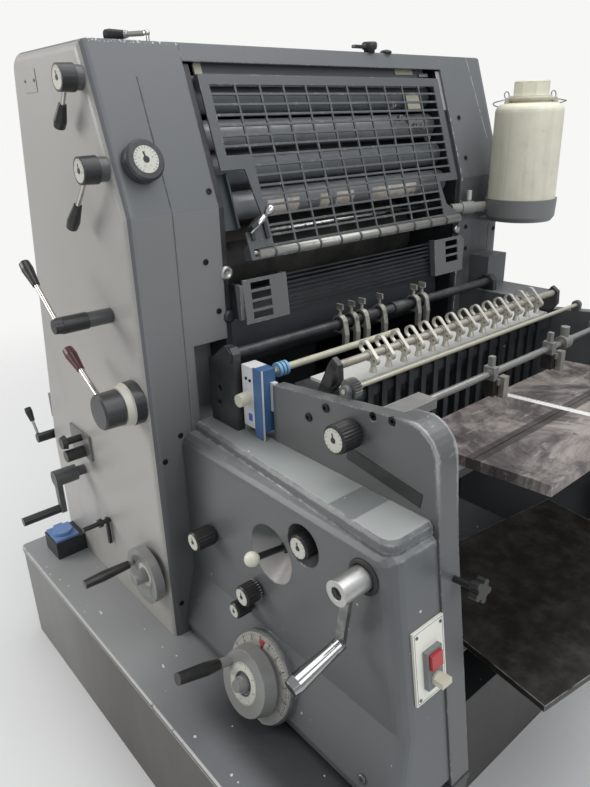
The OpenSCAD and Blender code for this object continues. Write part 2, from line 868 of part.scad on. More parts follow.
// A fluted knob that points away from the operator side
module fluted_knob(x, y, z, r, len, flutes) {
    translate([x, y, z])
        rotate([90, 0, 0]) {
            cylinder(r = r - 5, h = 6);
            translate([0, 0, 5])
                linear_extrude(len - 8)
                    polygon([for (i = [0:2 * flutes - 1])
                        let (a = 180 * i / flutes, q = i % 2 == 0 ? r : r - 1.2)
                        [q * cos(a), q * sin(a)]]);
            translate([0, 0, len - 3.5])
                cylinder(r1 = r - 1.2, r2 = r - 4, h = 3.5);
        }
}

// A lever arm with its grip, in the plane of the operator side, at an angle from +X
module lever_arm(x, y, z, angle, start, len, rod, grip_len, grip_r) {
    translate([x, y, z])
        rotate([0, 90 - angle, 0]) {
            translate([0, 0, start])
                cylinder(r = rod, h = len - start - grip_len + 2);
            translate([0, 0, len - grip_len])
                cylinder(r1 = grip_r * 0.62, r2 = grip_r, h = grip_len * 0.72);
            translate([0, 0, len - grip_len * 0.28 - 0.01])
                cylinder(r1 = grip_r, r2 = grip_r * 0.9, h = grip_len * 0.28);
        }
}

lever1 = [-106, tower_h - 63];
lever2 = [-54, tower_h - 214];
lever3 = [-113, 1054];
lever4 = [2, 884];

module damping_lever() {
    color(black) {
        outward(lever1[0], -half_w - seat_gap, lever1[1], 21, 14);
        outward(lever1[0], -half_w - 14, lever1[1], 24, 28, 23);
        lever_arm(lever1[0], -half_w - 26, lever1[1], -127, 10, lever1_len, 4.5, 46, 12);
    }
}

module water_lever() {
    color(black) {
        outward(lever2[0], -half_w - seat_gap, lever2[1], 22, 18);
        outward(lever2[0], -half_w - 18, lever2[1], 25, 31, 24);
        lever_arm(lever2[0], -half_w - 34, lever2[1], -134, 10, lever2_len, 5, 60, 12.5);
    }
}

module ink_lever() {
    color(grey_dark)
        outward(lever3[0], -half_w - seat_gap, lever3[1], 15.5, 52);
    color(black) {
        outward(lever3[0], -half_w - 52, lever3[1], 17, 52);
        outward(lever3[0], -half_w - 103, lever3[1], 16, 16, 14);
        lever_arm(lever3[0], -half_w - 108, lever3[1], 142.5, 10, lever3_len, 5, 60, 12);
    }
}

drum_len = 40;
module pressure_drum() {
    color(grey_dark)
        outward(lever4[0] - 50, -half_w, lever4[1], 46, 24);
    color(cream)
        outward(lever4[0] - 50, -half_w - 23, lever4[1], 42, 17);
}

module pressure_lever() {
    color(grey_dark) {
        outward(lever4[0] - 50, -half_w - drum_len - seat_gap, lever4[1], 38, 40, 37);
        outward(lever4[0] - 50, -half_w - drum_len - 40, lever4[1], 37, 4, 34);
    }
    color([0.36, 0.12, 0.14])
        lever_arm(lever4[0] - 50, -half_w - drum_len - 24, lever4[1], 151, 20, lever4_len - 30, 6, 62, 13);
}

// Hand wheel on the tower with its handle
wheel_pos = [-65, base_h + 158];
module handle(x, y, z, len, r) {
    outward(x, y, z, r * 0.55, 10);
    outward(x, y - 10, z, r * 0.8, len * 0.55, r);
    outward(x, y - 10 - len * 0.55, z, r, len * 0.45 - 10, r * 0.86);
}

module hand_wheel() {
    color(grey_mid) {
        outward(wheel_pos[0], -half_w - seat_gap, wheel_pos[1], 26, 12);
        difference() {
            outward(wheel_pos[0], -half_w - 12, wheel_pos[1], hand_wheel_r, 22);
            outward(wheel_pos[0], -half_w - 24, wheel_pos[1], 26, 11, hand_wheel_r - 12);
        }
        outward(wheel_pos[0], -half_w - 22, wheel_pos[1], 18, 32, 15);
    }
    color(black)
        handle(wheel_pos[0] - 42, -half_w - 33, wheel_pos[1] + 14, 118, 12);
}

// Large wheel on the flared foot of the housing with the graduated ring behind it
flare_deg = atan((flare + 1) / (flare_top_z - flare_low_z));
feed_wheel_pos = [housing_len * 0.49, -housing_y - 24, base_h + 76];
boss_out = 12;
ring_t = 7;
ring_r = 90;
wheel_back = 30;
wheel_t = 27;
wheel_front = wheel_back + wheel_t;
module on_flare(out) {
    translate(feed_wheel_pos)
        rotate([90 - flare_deg, 0, 0])
            translate([0, 0, out])
                children();
}

module above_base() {
    difference() {
        children();
        block([0, -step_y, base_h - 60], [base_front_x, -frame_y, base_h + 1]);
    }
}

module boss_on_flare() {
    above_base()
        on_flare(-14)
            cylinder(r = ring_r + 4, h = 14 + boss_out, $fn = 72);
}

module scale_ring() {
    color(cream)
        above_base()
            on_flare(boss_out)
                difference() {
                    cylinder(r = ring_r, h = ring_t, $fn = 72);
                    translate([0, 0, -over])
                        cylinder(r = 20, h = ring_t + 2 * over);
                }
}

module feed_wheel() {
    color(grey_mid)
        on_flare(0) {
            translate([0, 0, boss_out + seat_gap])
                cylinder(r = 19, h = wheel_back - boss_out);
            difference() {
                translate([0, 0, wheel_back])
                    cylinder(r1 = feed_wheel_r, r2 = feed_wheel_r - 6, h = wheel_t, $fn = 72);
                translate([0, 0, wheel_front - 6])
                    cylinder(r = 24, h = 7);
            }
            translate([0, 0, wheel_front - 7])
                cylinder(r = 17, h = 14);
            translate([0, 0, wheel_front + 6.9])
                cylinder(r1 = 14, r2 = 12, h = 12);
        }
    color(black)
        on_flare(wheel_front - 1)
            translate([-52, 19, 0]) {
                cylinder(r = 10, h = 28);
                translate([0, 0, 27])
                    cylinder(r1 = 11, r2 = 13.5, h = 30);
                translate([0, 0, 56.9])
                    cylinder(r1 = 13.5, r2 = 12, h = 66);
            }
}

// Winding crank: hub, flat arm and a grip that droops a little
crank_x = housing_len - 55;
crank_z = 745;
grip_droop = 16;
crank_turn = 9;
crank_out = 37.5;
crank_hub_r = 22;
module winding_crank() {
    color(steel) {
        difference() {
            outward(crank_x, -housing_y + 8 - seat_gap, crank_z, crank_hub_r, 68);
            outward(crank_x, -housing_y - 46, crank_z, 11, 16);
        }
        translate([crank_x, -housing_y - crank_out + 4.5, crank_z])
            rotate([0, 180 + crank_turn, 0])
                translate([-9, -4.5, crank_hub_r - 7])
                    cube([18, 9, crank_arm - crank_hub_r + 14]);
        translate([crank_x, -housing_y - crank_out + 4.5, crank_z])
            rotate([0, 180 + crank_turn, 0])
                translate([0, 3, crank_arm])
                    rotate([90 - grip_droop, 0, 0]) {
                        cylinder(r = 12.5, h = 16);
                        translate([0, 0, 15])
                            cylinder(r1 = 12, r2 = 16.5, h = 82);
                        translate([0, 0, 96.5])
                            cylinder(r1 = 16.5, r2 = 14, h = 14);
                    }
    }
}

// Ball lever in the conical recess, on a ball joint
ball_y = -housing_y + bowl_depth - 13.6 - seat_gap;
module ball_lever() {
    color(black)
        translate([bowl_x, ball_y, bowl_z]) {
            sphere(r = 10);
            translate([0, 0, -13])
                cylinder(r = 4, h = 26);
            rotate([82, 0, 0])
                cylinder(r = 6.5, h = 72);
        }
    color(cream)
        translate([bowl_x, ball_y, bowl_z])
            rotate([82, 0, 0])
                translate([0, 0, 81])
                    sphere(r = 14.5);
}

// Round dial on the slanted front
dial_z = tower_h - 208;
dial_y = -536;
module on_slant(y, z) {
    translate([slant_x(z), y, z])
        rotate([0, 90 - slant_deg, 0])
            children();
}

module dial_knob() {
    color(grey_dark)
        on_slant(dial_y, dial_z)
            translate([0, 0, seat_gap]) {
                cylinder(r = dial_r - 1, h = 21);
                translate([0, 0, 21])
                    cylinder(r1 = dial_r, r2 = dial_r - 4, h = 5);
            }
}

knob_a = [95, 605];
knob_u = [246, 551];
knob_l = [215, 497];
module housing_knob() {
    color(black)
        fluted_knob(knob_a[0], -housing_y - seat_gap, knob_a[1], 22, 50, 20);
}

module recess_knob() {
    color(black)
        fluted_knob(cup_x, -housing_y + cup_depth - seat_gap, cup_z, 24, 56, 20);
}

module upper_knob() {
    color(black)
        fluted_knob(knob_u[0], -housing_y - seat_gap, knob_u[1], 22, 40, 20);
}

module lower_knob() {
    color(black)
        fluted_knob(knob_l[0], -housing_y - seat_gap, knob_l[1], 18, 40, 18);
}

frame_knob_pos = [housing_len - 186, 915];
module frame_knob() {
    color(black)
        fluted_knob(frame_knob_pos[0], -frame_y - seat_gap, frame_knob_pos[1], 27, 47, 28);
}

// Small crank low on the operator side
side_crank_pos = [-400, 585];
module side_crank() {
    color(grey_dark) {
        outward(side_crank_pos[0], -half_w - seat_gap, side_crank_pos[1], 13, 24);
        outward(side_crank_pos[0], -half_w - 24, side_crank_pos[1], 21, 58);
        block([side_crank_pos[0] - 10, -half_w - 80, side_crank_pos[1] - 96],
            [side_crank_pos[0] + 10, -half_w - 66, side_crank_pos[1]]);
    }
    color(black)
        outward(side_crank_pos[0], -half_w - 79, side_crank_pos[1] - 86, 11, 96);
}

// Fixed small pieces of the operator side: plate, valve knobs and a drain cock
plate_at = [-440, base_h + 340];
plate_size = [114, 68];
plate_t = 6;
module side_fittings() {
    color(grey_side)
        block([plate_at[0], -half_w - plate_t, plate_at[1]],
            [plate_at[0] + plate_size[0], -half_w, plate_at[1] + plate_size[1]]);
    color(black) {
        outward(-372, -half_w - 6, 688, 9, 42);
        outward(-372, -half_w - 46, 688, 18, 12, 15);
        outward(-366, -half_w - 6, 652, 15, 48);
        outward(-284, -half_w, 486, 6, 72);
        outward(-284, -half_w - 22, 486, 11, 10);
        block([-289, -half_w - 12, 420], [-279, -half_w - 4, 494]);
    }
    color(grey_dark)
        for (z = [[rear_lever_z - 20, rear_lever_z + 14], [rear_lever_z + 46, rear_lever_z + 116]])
            translate([0, -half_w + 30, 0])
                rotate([90, 0, 0])
                    linear_extrude(10)
                        polygon([[rear_x(max(z[0], rear_fold_z)) - seat_gap, z[0]],
                            [rear_x(max(z[1], rear_fold_z)) - seat_gap, z[1]],
                            [rear_foot_x - 42, z[1]], [rear_foot_x - 42, z[0]]]);
}

// Lever and bracket on the tower's rear edge
rear_lever_z = 604;
module rear_lever() {
    color(grey_dark)
        outward(rear_foot_x - 26, -half_w + 20 - seat_gap, rear_lever_z, 13, 56);
    color(black)
        lever_arm(rear_foot_x - 26, -half_w - 30, rear_lever_z, 128, 6, 92, 4, 40, 10);
}

// Bent lever on the tower's top
top_lever_pos = [-200, -400];
top_lever_h = 24;
top_lever_arm = 42;
module top_lever() {
    translate([top_lever_pos[0], top_lever_pos[1], tower_h + seat_gap]) {
        color(steel) {
            cylinder(r = 13, h = 5);
            cylinder(r = 5, h = top_lever_h);
            translate([0, 0, top_lever_h])
                sphere(r = 6.5);
            rotate([0, 0, 215])
                translate([0, 0, top_lever_h])
                    rotate([0, 90, 0])
                        cylinder(r = 5, h = top_lever_arm + 2);
        }
        color(black)
            rotate([0, 0, 215])
                translate([top_lever_arm, 0, top_lever_h])
                    rotate([0, 90, 0]) {
                        cylinder(r1 = 7, r2 = 12, h = 38);
                        translate([0, 0, 37.9])
                            cylinder(r1 = 12, r2 = 11, h = 10);
                    }
    }
}

// Panel with a square push button and a rotary switch on the housing's end
end_deg = atan(end_lean);
panel_z = 590;
panel_y = -458.5;
panel_half_w = 38;
module on_end(y, z) {
    translate([end_x(z), y, z])
        rotate([0, 90 - end_deg, 0])
            translate([0, 0, seat_gap])
                children();
}

module control_panel() {
    color([0.85, 0.84, 0.80])
        on_end(panel_y, panel_z)
            difference() {
                translate([-70, -panel_half_w, 0])
                    cube([140, 2 * panel_half_w, 5]);
                translate([-8, 0, -over])
                    cylinder(r = 6.2, h = 8);
                translate([26, 0, -over])
                    cylinder(r = 6.2, h = 8);
            }
    color(grey_mid)
        on_end(panel_y, panel_z)
            difference() {
                translate([-28, -19, 5])
                    cube([72, 38, 10]);
                translate([-23, -14.5, 7])
                    cube([29, 29, 9]);
                translate([-8, 0, -over])
                    cylinder(r = 6.2, h = 20);
                translate([26, 0, -over])
                    cylinder(r = 6.2, h = 20);
            }
}

module stop_button() {
    color([0.75, 0.10, 0.10])
        on_end(panel_y, panel_z) {
            translate([-22, -13.5, 12])
                cube([27, 27, 9]);
            translate([-8, 0, 5.5])
                cylinder(r = 6, h = 8);
        }
}

module rotary_switch() {
    color(cream)
        on_end(panel_y, panel_z)
            translate([26, 0, 0]) {
                translate([0, 0, 1])
                    cylinder(r = 6, h = 16);
                translate([0, 0, 15 + seat_gap])
                    cylinder(r = 12, h = 5);
                translate([-5.5, -12, 19])
                    cube([11, 24, 19]);
            }
}

// Clamp-on unit at the frame's tower end, with its tube
unit_x = 140;
unit_w = 64;
unit_low_z = pad_z + 16;
unit_h = 130;
unit_t = 34;
tube_x = 150;
tube_z = 962;
module clamp_unit() {
    color([0.85, 0.87, 0.88])
        block([unit_x - unit_w / 2, -frame_y - 17, unit_low_z], [unit_x + unit_w / 2, -frame_y - 17 + unit_t, unit_low_z + unit_h]);
    color([0.25, 0.45, 0.70]) {
        block([unit_x + 6, -frame_y - 19, pad_z + seat_gap],
            [unit_x + unit_w / 2 + 2, -frame_y - 15, unit_low_z + unit_h + 2]);
        block([unit_x + unit_w / 2 - over, -frame_y + 2, unit_low_z + 44], [frame_x0 - seat_gap, -frame_y + 14, unit_low_z + 104]);
    }
    color(cream)
        outward(unit_x - 16, -frame_y - 17, unit_low_z + 62, 15, 24, 13);
}

module unit_roller() {
    color(cream) {
        across(tube_x, tube_z - 12, 5, -frame_y + 17, -384);
        across(tube_x, tube_z - 12, 7.5, -384, -20);
    }
    color([0.35, 0.60, 0.85])
        for (i = [0:2])
            across(tube_x, tube_z - 12, 15, -382 + i * 9, -376 + i * 9);
}

// Socket box on the base with its round lid
socket = [-521, -642];
socket_h = 50;
module socket_box() {
    color(black)
        block([socket[0] - 42, socket[1] - 36, base_h], [socket[0] + 42, -half_w, base_h + socket_h]);
    color([0.30, 0.45, 0.70])
        block([socket[0] - 38, socket[1] - 32, base_h + socket_h], [socket[0] + 38, socket[1] + 32, base_h + socket_h + 7]);
}

module socket_lid() {
    color([0.30, 0.45, 0.75]) {
        translate([socket[0], socket[1], base_h + socket_h + 7 + seat_gap])
            cylinder(r = 27, h = 9);
        across(socket[0] - 31, base_h + socket_h + 12, 4, socket[1] - 12, socket[1] + 12);
        block([socket[0] - 31, socket[1] - 12, base_h + socket_h + 9], [socket[0] - 20, socket[1] + 12, base_h + socket_h + 15]);
    }
}

// Tank: bottle with its cap, cup and pipe
tank = [106, 515];
tank_cup_z = max(fold_z - tank_below, shaft_z + 30);
tank_shoulder_z = tank_cup_z + tank_h;
module tank_bottle() {
    cap_z = tank_shoulder_z + 12;
    neck_r = tank_r * 0.56;
    color(cream) {
        translate([tank[0], tank[1], 0])
            rotate_extrude($fn = 72)
                polygon(concat(
                    [[0, tank_cup_z + 10], [tank_r - 8, tank_cup_z + 10], [tank_r - 6, tank_cup_z + 14],
                     [tank_r - 1, tank_cup_z + 40], [tank_r - 3, tank_shoulder_z - 22]],
                    arc_pts(tank_r - 23, tank_shoulder_z - 20, 20, 0, 90, 5),
                    [[neck_r + 2, tank_shoulder_z + 2], [neck_r, cap_z], [0, cap_z]]));
        translate([tank[0], tank[1], cap_z - over])
            cylinder(r = neck_r + 2.5, h = 7);
        translate([tank[0], tank[1], cap_z + 5])
            linear_extrude(33)
                polygon([for (i = [0:23])
                    let (r = neck_r - 6 + (i % 3 == 0 ? 1.6 : 0))
                    [r * cos(15 * i + 2), r * sin(15 * i + 2)]]);
        translate([tank[0], tank[1], cap_z + 37])
            cylinder(r1 = neck_r - 5.5, r2 = neck_r - 8, h = 4);
    }
}

pipe_from = [4, 346];
pipe_deg = 72;
pipe_len = 108;
pipe_r = 13;
module along_pipe(at) {
    translate([pipe_from[0], pipe_from[1], tank_cup_z + 35])
        rotate([0, 0, pipe_deg])
            rotate([0, 90, 0])
                translate([0, 0, at])
                    children();
}

module tank_cup() {
    cup_edge = tank_cup_z + tank_cup_h;
    color(grey_mid) {
        translate([tank[0], tank[1], 0])
            rotate_extrude($fn = 72)
                polygon([[0, tank_cup_z], [tank_r - 6, tank_cup_z], [tank_r + 2, tank_cup_z + 12],
                    [tank_r + 4, cup_edge], [tank_r + 0.5, cup_edge], [tank_r, tank_cup_z + 40],
                    [tank_r - 5, tank_cup_z + 10], [0, tank_cup_z + 10]]);
        along_pipe(0)
            cylinder(r = pipe_r, h = pipe_len);
        along_pipe(32)
            cylinder(r = pipe_r + 3, h = 38);
        along_pipe(58)
            rotate([0, -90, 0])
                cylinder(r = 6, h = 44);
        block([0, tank[1] - 30, tank_cup_z - 8], [tank[0], tank[1] + 30, tank_cup_z + 0.5]);
    }
}

// Grille guard in the slanted plane, hinged at its top edge
guard_len = guard_h / cos(slant_deg);
step1 = guard_len * 0.506;
step2 = guard_len * 0.78;
low_step2 = guard_len * 0.704;
guard_in = 302;
guard_low_w = 346;
far_in = 292;
far_low_w = 338;
module guard_place() {
    translate([slant_x(guard_top_z), 0, guard_top_z])
        rotate([0, 180 - slant_deg, 0])
            children();
}

// The guard's outline: x runs down the slope, y across the machine
module guard_outline() {
    polygon([[0, -guard_half_w], [step1, -guard_half_w], [step1, -guard_in - 8], [step2, -guard_in + 8],
        [guard_len * 0.85, -guard_low_w], [guard_len, -guard_low_w], [guard_len, far_low_w],
        [guard_len * 0.935, far_low_w], [guard_len * 0.86, far_in + 10], [low_step2, far_in],
        [low_step2, guard_half_w], [0, guard_half_w]]);
}

module guard_windows() {
    border = 20;
    x0 = 20;
    low_border = 6;
    row = (guard_len - x0 - low_border + guard_bar) / guard_rows;
    col = 2 * (guard_half_w - border) / guard_cols;
    for (i = [0:guard_rows - 1])
        for (j = [0:guard_cols - 1]) {
            y = -guard_half_w + border + j * col;
            low = x0 + (i + 1) * row;
            lo = j == 0 && low > step1 - 4;
            hi = j == guard_cols - 1 && low > low_step2 - 4;
            if (!lo && !hi)
                translate([x0 + i * row, y + guard_bar / 2])
                    square([row - guard_bar, col - guard_bar]);
        }
    translate([x0 + (guard_rows - 1) * row, -guard_low_w + 10])
        square([row - guard_bar, col - border + 8]);
}

module grille_guard() {
    color(grey_dark) {
        guard_place()
            rotate([0, -90, 0])
                translate([0, 0, 0])
                    linear_extrude(guard_t)
                        difference() {
                            guard_outline();
                            guard_windows();
                        }
        for (side = [-1, 1])
            across(hinge_x, hinge_z, hinge_r, side > 0 ? guard_half_w - 12 : -open_y + seat_gap,
                side > 0 ? open_y - seat_gap : -guard_half_w + 12);
        for (side = [-1, 1])
            translate([0, side > 0 ? guard_half_w - 0.6 : -guard_half_w + 8.6, 0])
                rotate([90, 0, 0])
                    linear_extrude(8)
                        polygon([[slant_x(guard_top_z) + 1, guard_top_z], [hinge_x - 8, hinge_z + 7],
                            [hinge_x - 8, hinge_z - 8], [slant_x(hinge_z - 30) + 1, hinge_z - 30]]);
        for (y = [-guard_low_w + 6.5, far_low_w - 0.5])
            guard_place()
                translate([-1, y, 0])
                    rotate([90, 0, 0])
                        linear_extrude(6)
                            polygon([[0, guard_len - 34], [2 * guard_roller_r + 3, guard_len - 26],
                                [2 * guard_roller_r + 3, guard_len - 3], [0, guard_len - 3]]);
    }
}

module guard_roller() {
    color(steel)
        guard_place()
            translate([guard_roller_r + 1, 0, guard_len - 15])
                across(0, 0, guard_roller_r, -guard_low_w + 6.5, far_low_w - 6.5);
}

// Cylinders and rollers behind the guard
module roller(x, z, r) {
    across(x, z, r, -inner_y + 5, inner_y - 5);
    across(x, z, journal_r, -open_y + seat_gap, open_y - seat_gap);
}

module plate_cylinder() {
    color(steel)
        roller(plate_x, plate_z, cylinder_r);
}

module blanket_cylinder() {
    color([0.35, 0.42, 0.45])
        roller(blanket_x, blanket_z, cylinder_r);
}

module ink_roller_1() {
    color(black)
        roller(roller_x(0), roller_z(0), roller_r);
}

module ink_roller_2() {
    color(steel)
        roller(roller_x(1), roller_z(1), roller_r);
}

module ink_roller_3() {
    color(black)
        roller(roller_x(2), roller_z(2), roller_r);
}

module ink_roller_4() {
    color(steel)
        roller(roller_x(3), roller_z(3), roller_r);
}

// Star knob on the frame's end
star_y = -386;
star_z = 706;
module star_knob() {
    color(black)
        on_end(star_y, star_z)
            translate([0, 0, 4 + seat_gap]) {
                cylinder(r = 6, h = 42);
                translate([0, 0, 40])
                    linear_extrude(16)
                        union() {
                            circle(r = 14);
                            for (i = [0:4])
                                rotate(72 * i)
                                    translate([15, 0])
                                        circle(r = 6);
                        }
            }
}

base_plinth();
operator_cover();
far_cover();
top_cover();
rear_cover();
inner_frames();
lower_guard();
feeder_housing();
operator_frame();
far_frame();
far_housing();
cross_members();
pile_stop();
clamp_shaft();
sheet_strip();
suction_brackets();
lay_rod();
board_guides();
scale_ring();
control_panel();
clamp_unit();
unit_roller();
socket_box();
tank_bottle();
tank_cup();
pressure_drum();
side_fittings();
rear_lever();
grille_guard();
guard_roller();
plate_cylinder();
blanket_cylinder();
ink_roller_1();
ink_roller_2();
ink_roller_3();
ink_roller_4();
hand_wheel();
feed_wheel();
winding_crank();
damping_lever();
water_lever();
ink_lever();
pressure_lever();
ball_lever();
dial_knob();
housing_knob();
recess_knob();
upper_knob();
lower_knob();
frame_knob();
side_crank();
top_lever();
suction_bar();
ratchet_rod();
feed_board();
delivery_board();
socket_lid();
stop_button();
rotary_switch();
star_knob();
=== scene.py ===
import bmesh
import bpy
import math
from mathutils import Matrix, Vector


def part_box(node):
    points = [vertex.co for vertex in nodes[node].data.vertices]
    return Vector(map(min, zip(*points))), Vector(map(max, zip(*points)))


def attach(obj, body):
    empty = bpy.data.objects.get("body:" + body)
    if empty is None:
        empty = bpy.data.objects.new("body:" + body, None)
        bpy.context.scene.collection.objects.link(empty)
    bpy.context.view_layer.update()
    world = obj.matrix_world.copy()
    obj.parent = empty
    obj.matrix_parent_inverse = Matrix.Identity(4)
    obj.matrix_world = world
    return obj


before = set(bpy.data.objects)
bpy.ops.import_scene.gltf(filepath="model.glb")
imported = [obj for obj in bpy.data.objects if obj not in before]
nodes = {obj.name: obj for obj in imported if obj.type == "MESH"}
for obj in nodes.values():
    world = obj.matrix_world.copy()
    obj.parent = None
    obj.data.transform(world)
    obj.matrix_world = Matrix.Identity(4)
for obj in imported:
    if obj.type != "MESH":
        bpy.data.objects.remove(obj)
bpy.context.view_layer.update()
scene = bpy.context.scene


# Viewpoint
# A person's eye at the feeder's corner, a little above the lever on the tower's top, looking
# down across the feeder at the tower. The lens is that of a phone held upright.
def wave(degrees):
    """The cosine and sine of an angle."""
    return math.cos(math.radians(degrees)), math.sin(math.radians(degrees))


camera_place = Vector((1.1174, -1.1489, 1.4136))
turn_cos, turn_sin = wave(49.957)
drop_cos, drop_sin = wave(22.667)
roll_cos, roll_sin = wave(-1.609)
forward = Vector((-turn_sin * drop_cos, turn_cos * drop_cos, -drop_sin))
level = Vector((turn_cos, turn_sin, 0))
lifted = level.cross(forward)
right = roll_cos * level + roll_sin * lifted
upward = roll_cos * lifted - roll_sin * level
camera = bpy.data.objects.new("camera", bpy.data.cameras.new("camera"))
camera.data.lens = 30.30
camera.data.sensor_width = 36
camera.data.clip_start = 0.02
axes = Matrix((right, upward, -forward)).transposed()
camera.matrix_world = Matrix.Translation(camera_place) @ axes.to_4x4()
scene.collection.objects.link(camera)
scene.camera = camera
scene.view_settings.view_transform = "Standard"


# Light and floor
# Wide soft panels as under a workshop's ceiling, one of them beside the operator, over a plain
# pale floor. Metal and the camera see a paler surround than the one that lights the machine.
def soft_panel(name, place, aim, width, height, power, tint=(1, 1, 1)):
    lamp = bpy.data.lights.new(name, "AREA")
    for key, value in zip(("shape", "size", "size_y", "energy", "color"),
                          ("RECTANGLE", width, height, power, tint)):
        setattr(lamp, key, value)
    holder = bpy.data.objects.new(name, lamp)
    away = (Vector(place) - Vector(aim)).normalized()
    holder.matrix_world = Matrix.Translation(place) @ away.to_track_quat("Z", "Y").to_matrix().to_4x4()
    scene.collection.objects.link(holder)


soft_panel("ceiling_light", (0.6, 0.6, 4.2), (0, 0, 0.8), 3.2, 4.5, 112)
soft_panel("operator_light", (-2.6, -3.2, 2.6), (-0.2, 0, 0.8), 2.4, 2.0, 84, (1, 0.97, 0.93))
soft_panel("feeder_light", (3.4, -0.4, 2.6), (0.2, 0, 0.7), 2.4, 1.8, 34, (0.95, 0.98, 1))


def operator(operation, swapped=False):
    """A method that joins a tone and another value by a node."""
    def join(self, other):
        return self.sum(operation, other, self) if swapped else self.sum(operation, self, other)
    return join


class Tone:
    """A node's output that takes part in ordinary sums."""

    def __init__(self, net, socket):
        self.net = net
        self.socket = socket

    def sum(self, operation, first, second, clamp=False):
        return self.net.node("ShaderNodeMath", {"operation": operation, "use_clamp": clamp},
                             {0: first, 1: second})[0]

    __add__ = __radd__ = operator("ADD")
    __mul__ = __rmul__ = operator("MULTIPLY")
    __sub__ = operator("SUBTRACT")
    __rsub__ = operator("SUBTRACT", True)
    __gt__ = operator("GREATER_THAN")
    __lt__ = operator("LESS_THAN")

    def held(self):
        return self.sum("ADD", self, 0, True)

    def between(self, low, high):
        return self.net.node("ShaderNodeMapRange", {"interpolation_type": "SMOOTHSTEP"},
                             {0: self, 1: low, 2: high, 3: 0, 4: 1})[0]


class Net:
    """A node tree that is built with one method."""

    def __init__(self, tree):
        self.tree = tree

    def node(self, kind, settings=None, sockets=None):
        made = self.tree.nodes.new(kind)
        for key, value in (settings or {}).items():
            setattr(made, key, value)
        for key, value in (sockets or {}).items():
            self.join(value, made.inputs[key])
        return [Tone(self, output) for output in made.outputs]

    def join(self, value, socket):
        if isinstance(value, Tone):
            self.tree.links.new(value.socket, socket)
        else:
            socket.default_value = value

    def mixed(self, mask, first, second):
        """The first colour, and the second one where the mask is 1."""
        first, second = [colour if isinstance(colour, Tone) else (*colour, 1) for colour in (first, second)]
        return self.node("ShaderNodeMix", {"data_type": "RGBA"}, {0: mask, 6: first, 7: second})[2]

    def layered(self, tone, *layers):
        """A colour under others, each of which covers it where its mask is 1."""
        for mask, colour in layers:
            tone = self.mixed(mask, tone, colour)
        return tone


class Finish(Net):
    """A material whose pattern is laid out in metres on the machine."""

    def __init__(self, name):
        self.material = bpy.data.materials.new(name)
        self.material.use_nodes = True
        super().__init__(self.material.node_tree)
        self.shader = self.tree.nodes["Principled BSDF"]
        self.at = self.node("ShaderNodeTexCoord")[3]
        self.x, self.y, self.z = self.node("ShaderNodeSeparateXYZ", {}, {0: self.at})
        self.facing = self.node("ShaderNodeNewGeometry")[1]
        self.face_x, self.face_y, self.face_z = self.node("ShaderNodeSeparateXYZ", {}, {0: self.facing})

    def noise(self, scale, detail=3, rough=0.5, stretch=(1, 1, 1), bend=0):
        where = self.at
        if stretch != (1, 1, 1):
            where = self.node("ShaderNodeMapping", {}, {0: self.at, 3: stretch})[0]
        return self.node("ShaderNodeTexNoise", {},
                         {"Vector": where, "Scale": scale, "Detail": detail, "Roughness": rough,
                          "Distortion": bend})[0]

    def patches(self, scale, low, high, detail=5, rough=0.7):
        return self.noise(scale, detail, rough).between(low, high)

    def vector(self, operation, first, second=(0, 0, 0)):
        return self.node("ShaderNodeVectorMath", {"operation": operation}, {0: first, 1: second})

    def rounded(self, radius):
        return self.node("ShaderNodeBevel", {"samples": 4}, {0: radius})[0]

    def edge(self, radius):
        """Above 0 near an edge that is sharper than the radius."""
        return 1 - self.vector("DOT_PRODUCT", self.rounded(radius), self.facing)[1]

    def apart(self, centre, axis=None):
        """The distance from a place, or from an axis through it."""
        along = self.vector("SUBTRACT", self.at, centre)[0]
        if axis is not None:
            along = self.vector("SUBTRACT", along, self.vector("PROJECT", along, axis)[0])[0]
        return self.vector("LENGTH", along)[1]

    def off_shaft(self, x, z):
        """The distance from a shaft that runs across the machine."""
        return self.apart((x, 0, z), (0, 1, 0))

    def along(self, centre, axis):
        return self.vector("DOT_PRODUCT", self.vector("SUBTRACT", self.at, centre)[0], axis)[1]

    def done(self, look, soften=0.0012):
        """Joins a look's colour, roughness, metal and height to the shader."""
        for value, label in zip(look, ("Base Color", "Roughness", "Metallic")):
            self.join(value, self.shader.inputs[label])
        bump = {"Strength": 1.0, "Distance": 0.001}
        if soften:
            bump["Normal"] = self.rounded(soften)
        if isinstance(look[3], Tone):
            bump["Height"] = look[3]
            self.join(self.node("ShaderNodeBump", {}, bump)[0], self.shader.inputs["Normal"])
        elif soften:
            self.join(bump["Normal"], self.shader.inputs["Normal"])
        return self.material


def two_looks(f, mask, first, second):
    """The first look, and the second one where the mask is 1."""
    mask = mask.held()
    values = [mask * (there - here) + here for here, there in zip(first[1:], second[1:])]
    return f.mixed(mask, first[0], second[0]), *values


floor_half = 14
corners = [(x * floor_half, y * floor_half, 0) for x, y in ((-1, -1), (1, -1), (1, 1), (-1, 1))]
floor_mesh = bpy.data.meshes.new("floor")
floor_mesh.from_pydata(corners, [], [(0, 1, 2, 3)])
floor = bpy.data.objects.new("floor", floor_mesh)
scene.collection.objects.link(floor)
f = Finish("floor_finish")
floor_mesh.materials.append(f.done(((0.80, 0.80, 0.79, 1), 0.75, 0.0, 0.0), soften=0))
far_off = f.apart((0, 0, 0)).between(1.2, 4.2)
clear = f.node("ShaderNodeBsdfTransparent")[0]
fade = f.node("ShaderNodeMixShader", {}, {0: far_off, 1: Tone(f, f.shader.outputs[0]), 2: clear})[0]
f.join(fade, f.tree.nodes["Material Output"].inputs[0])

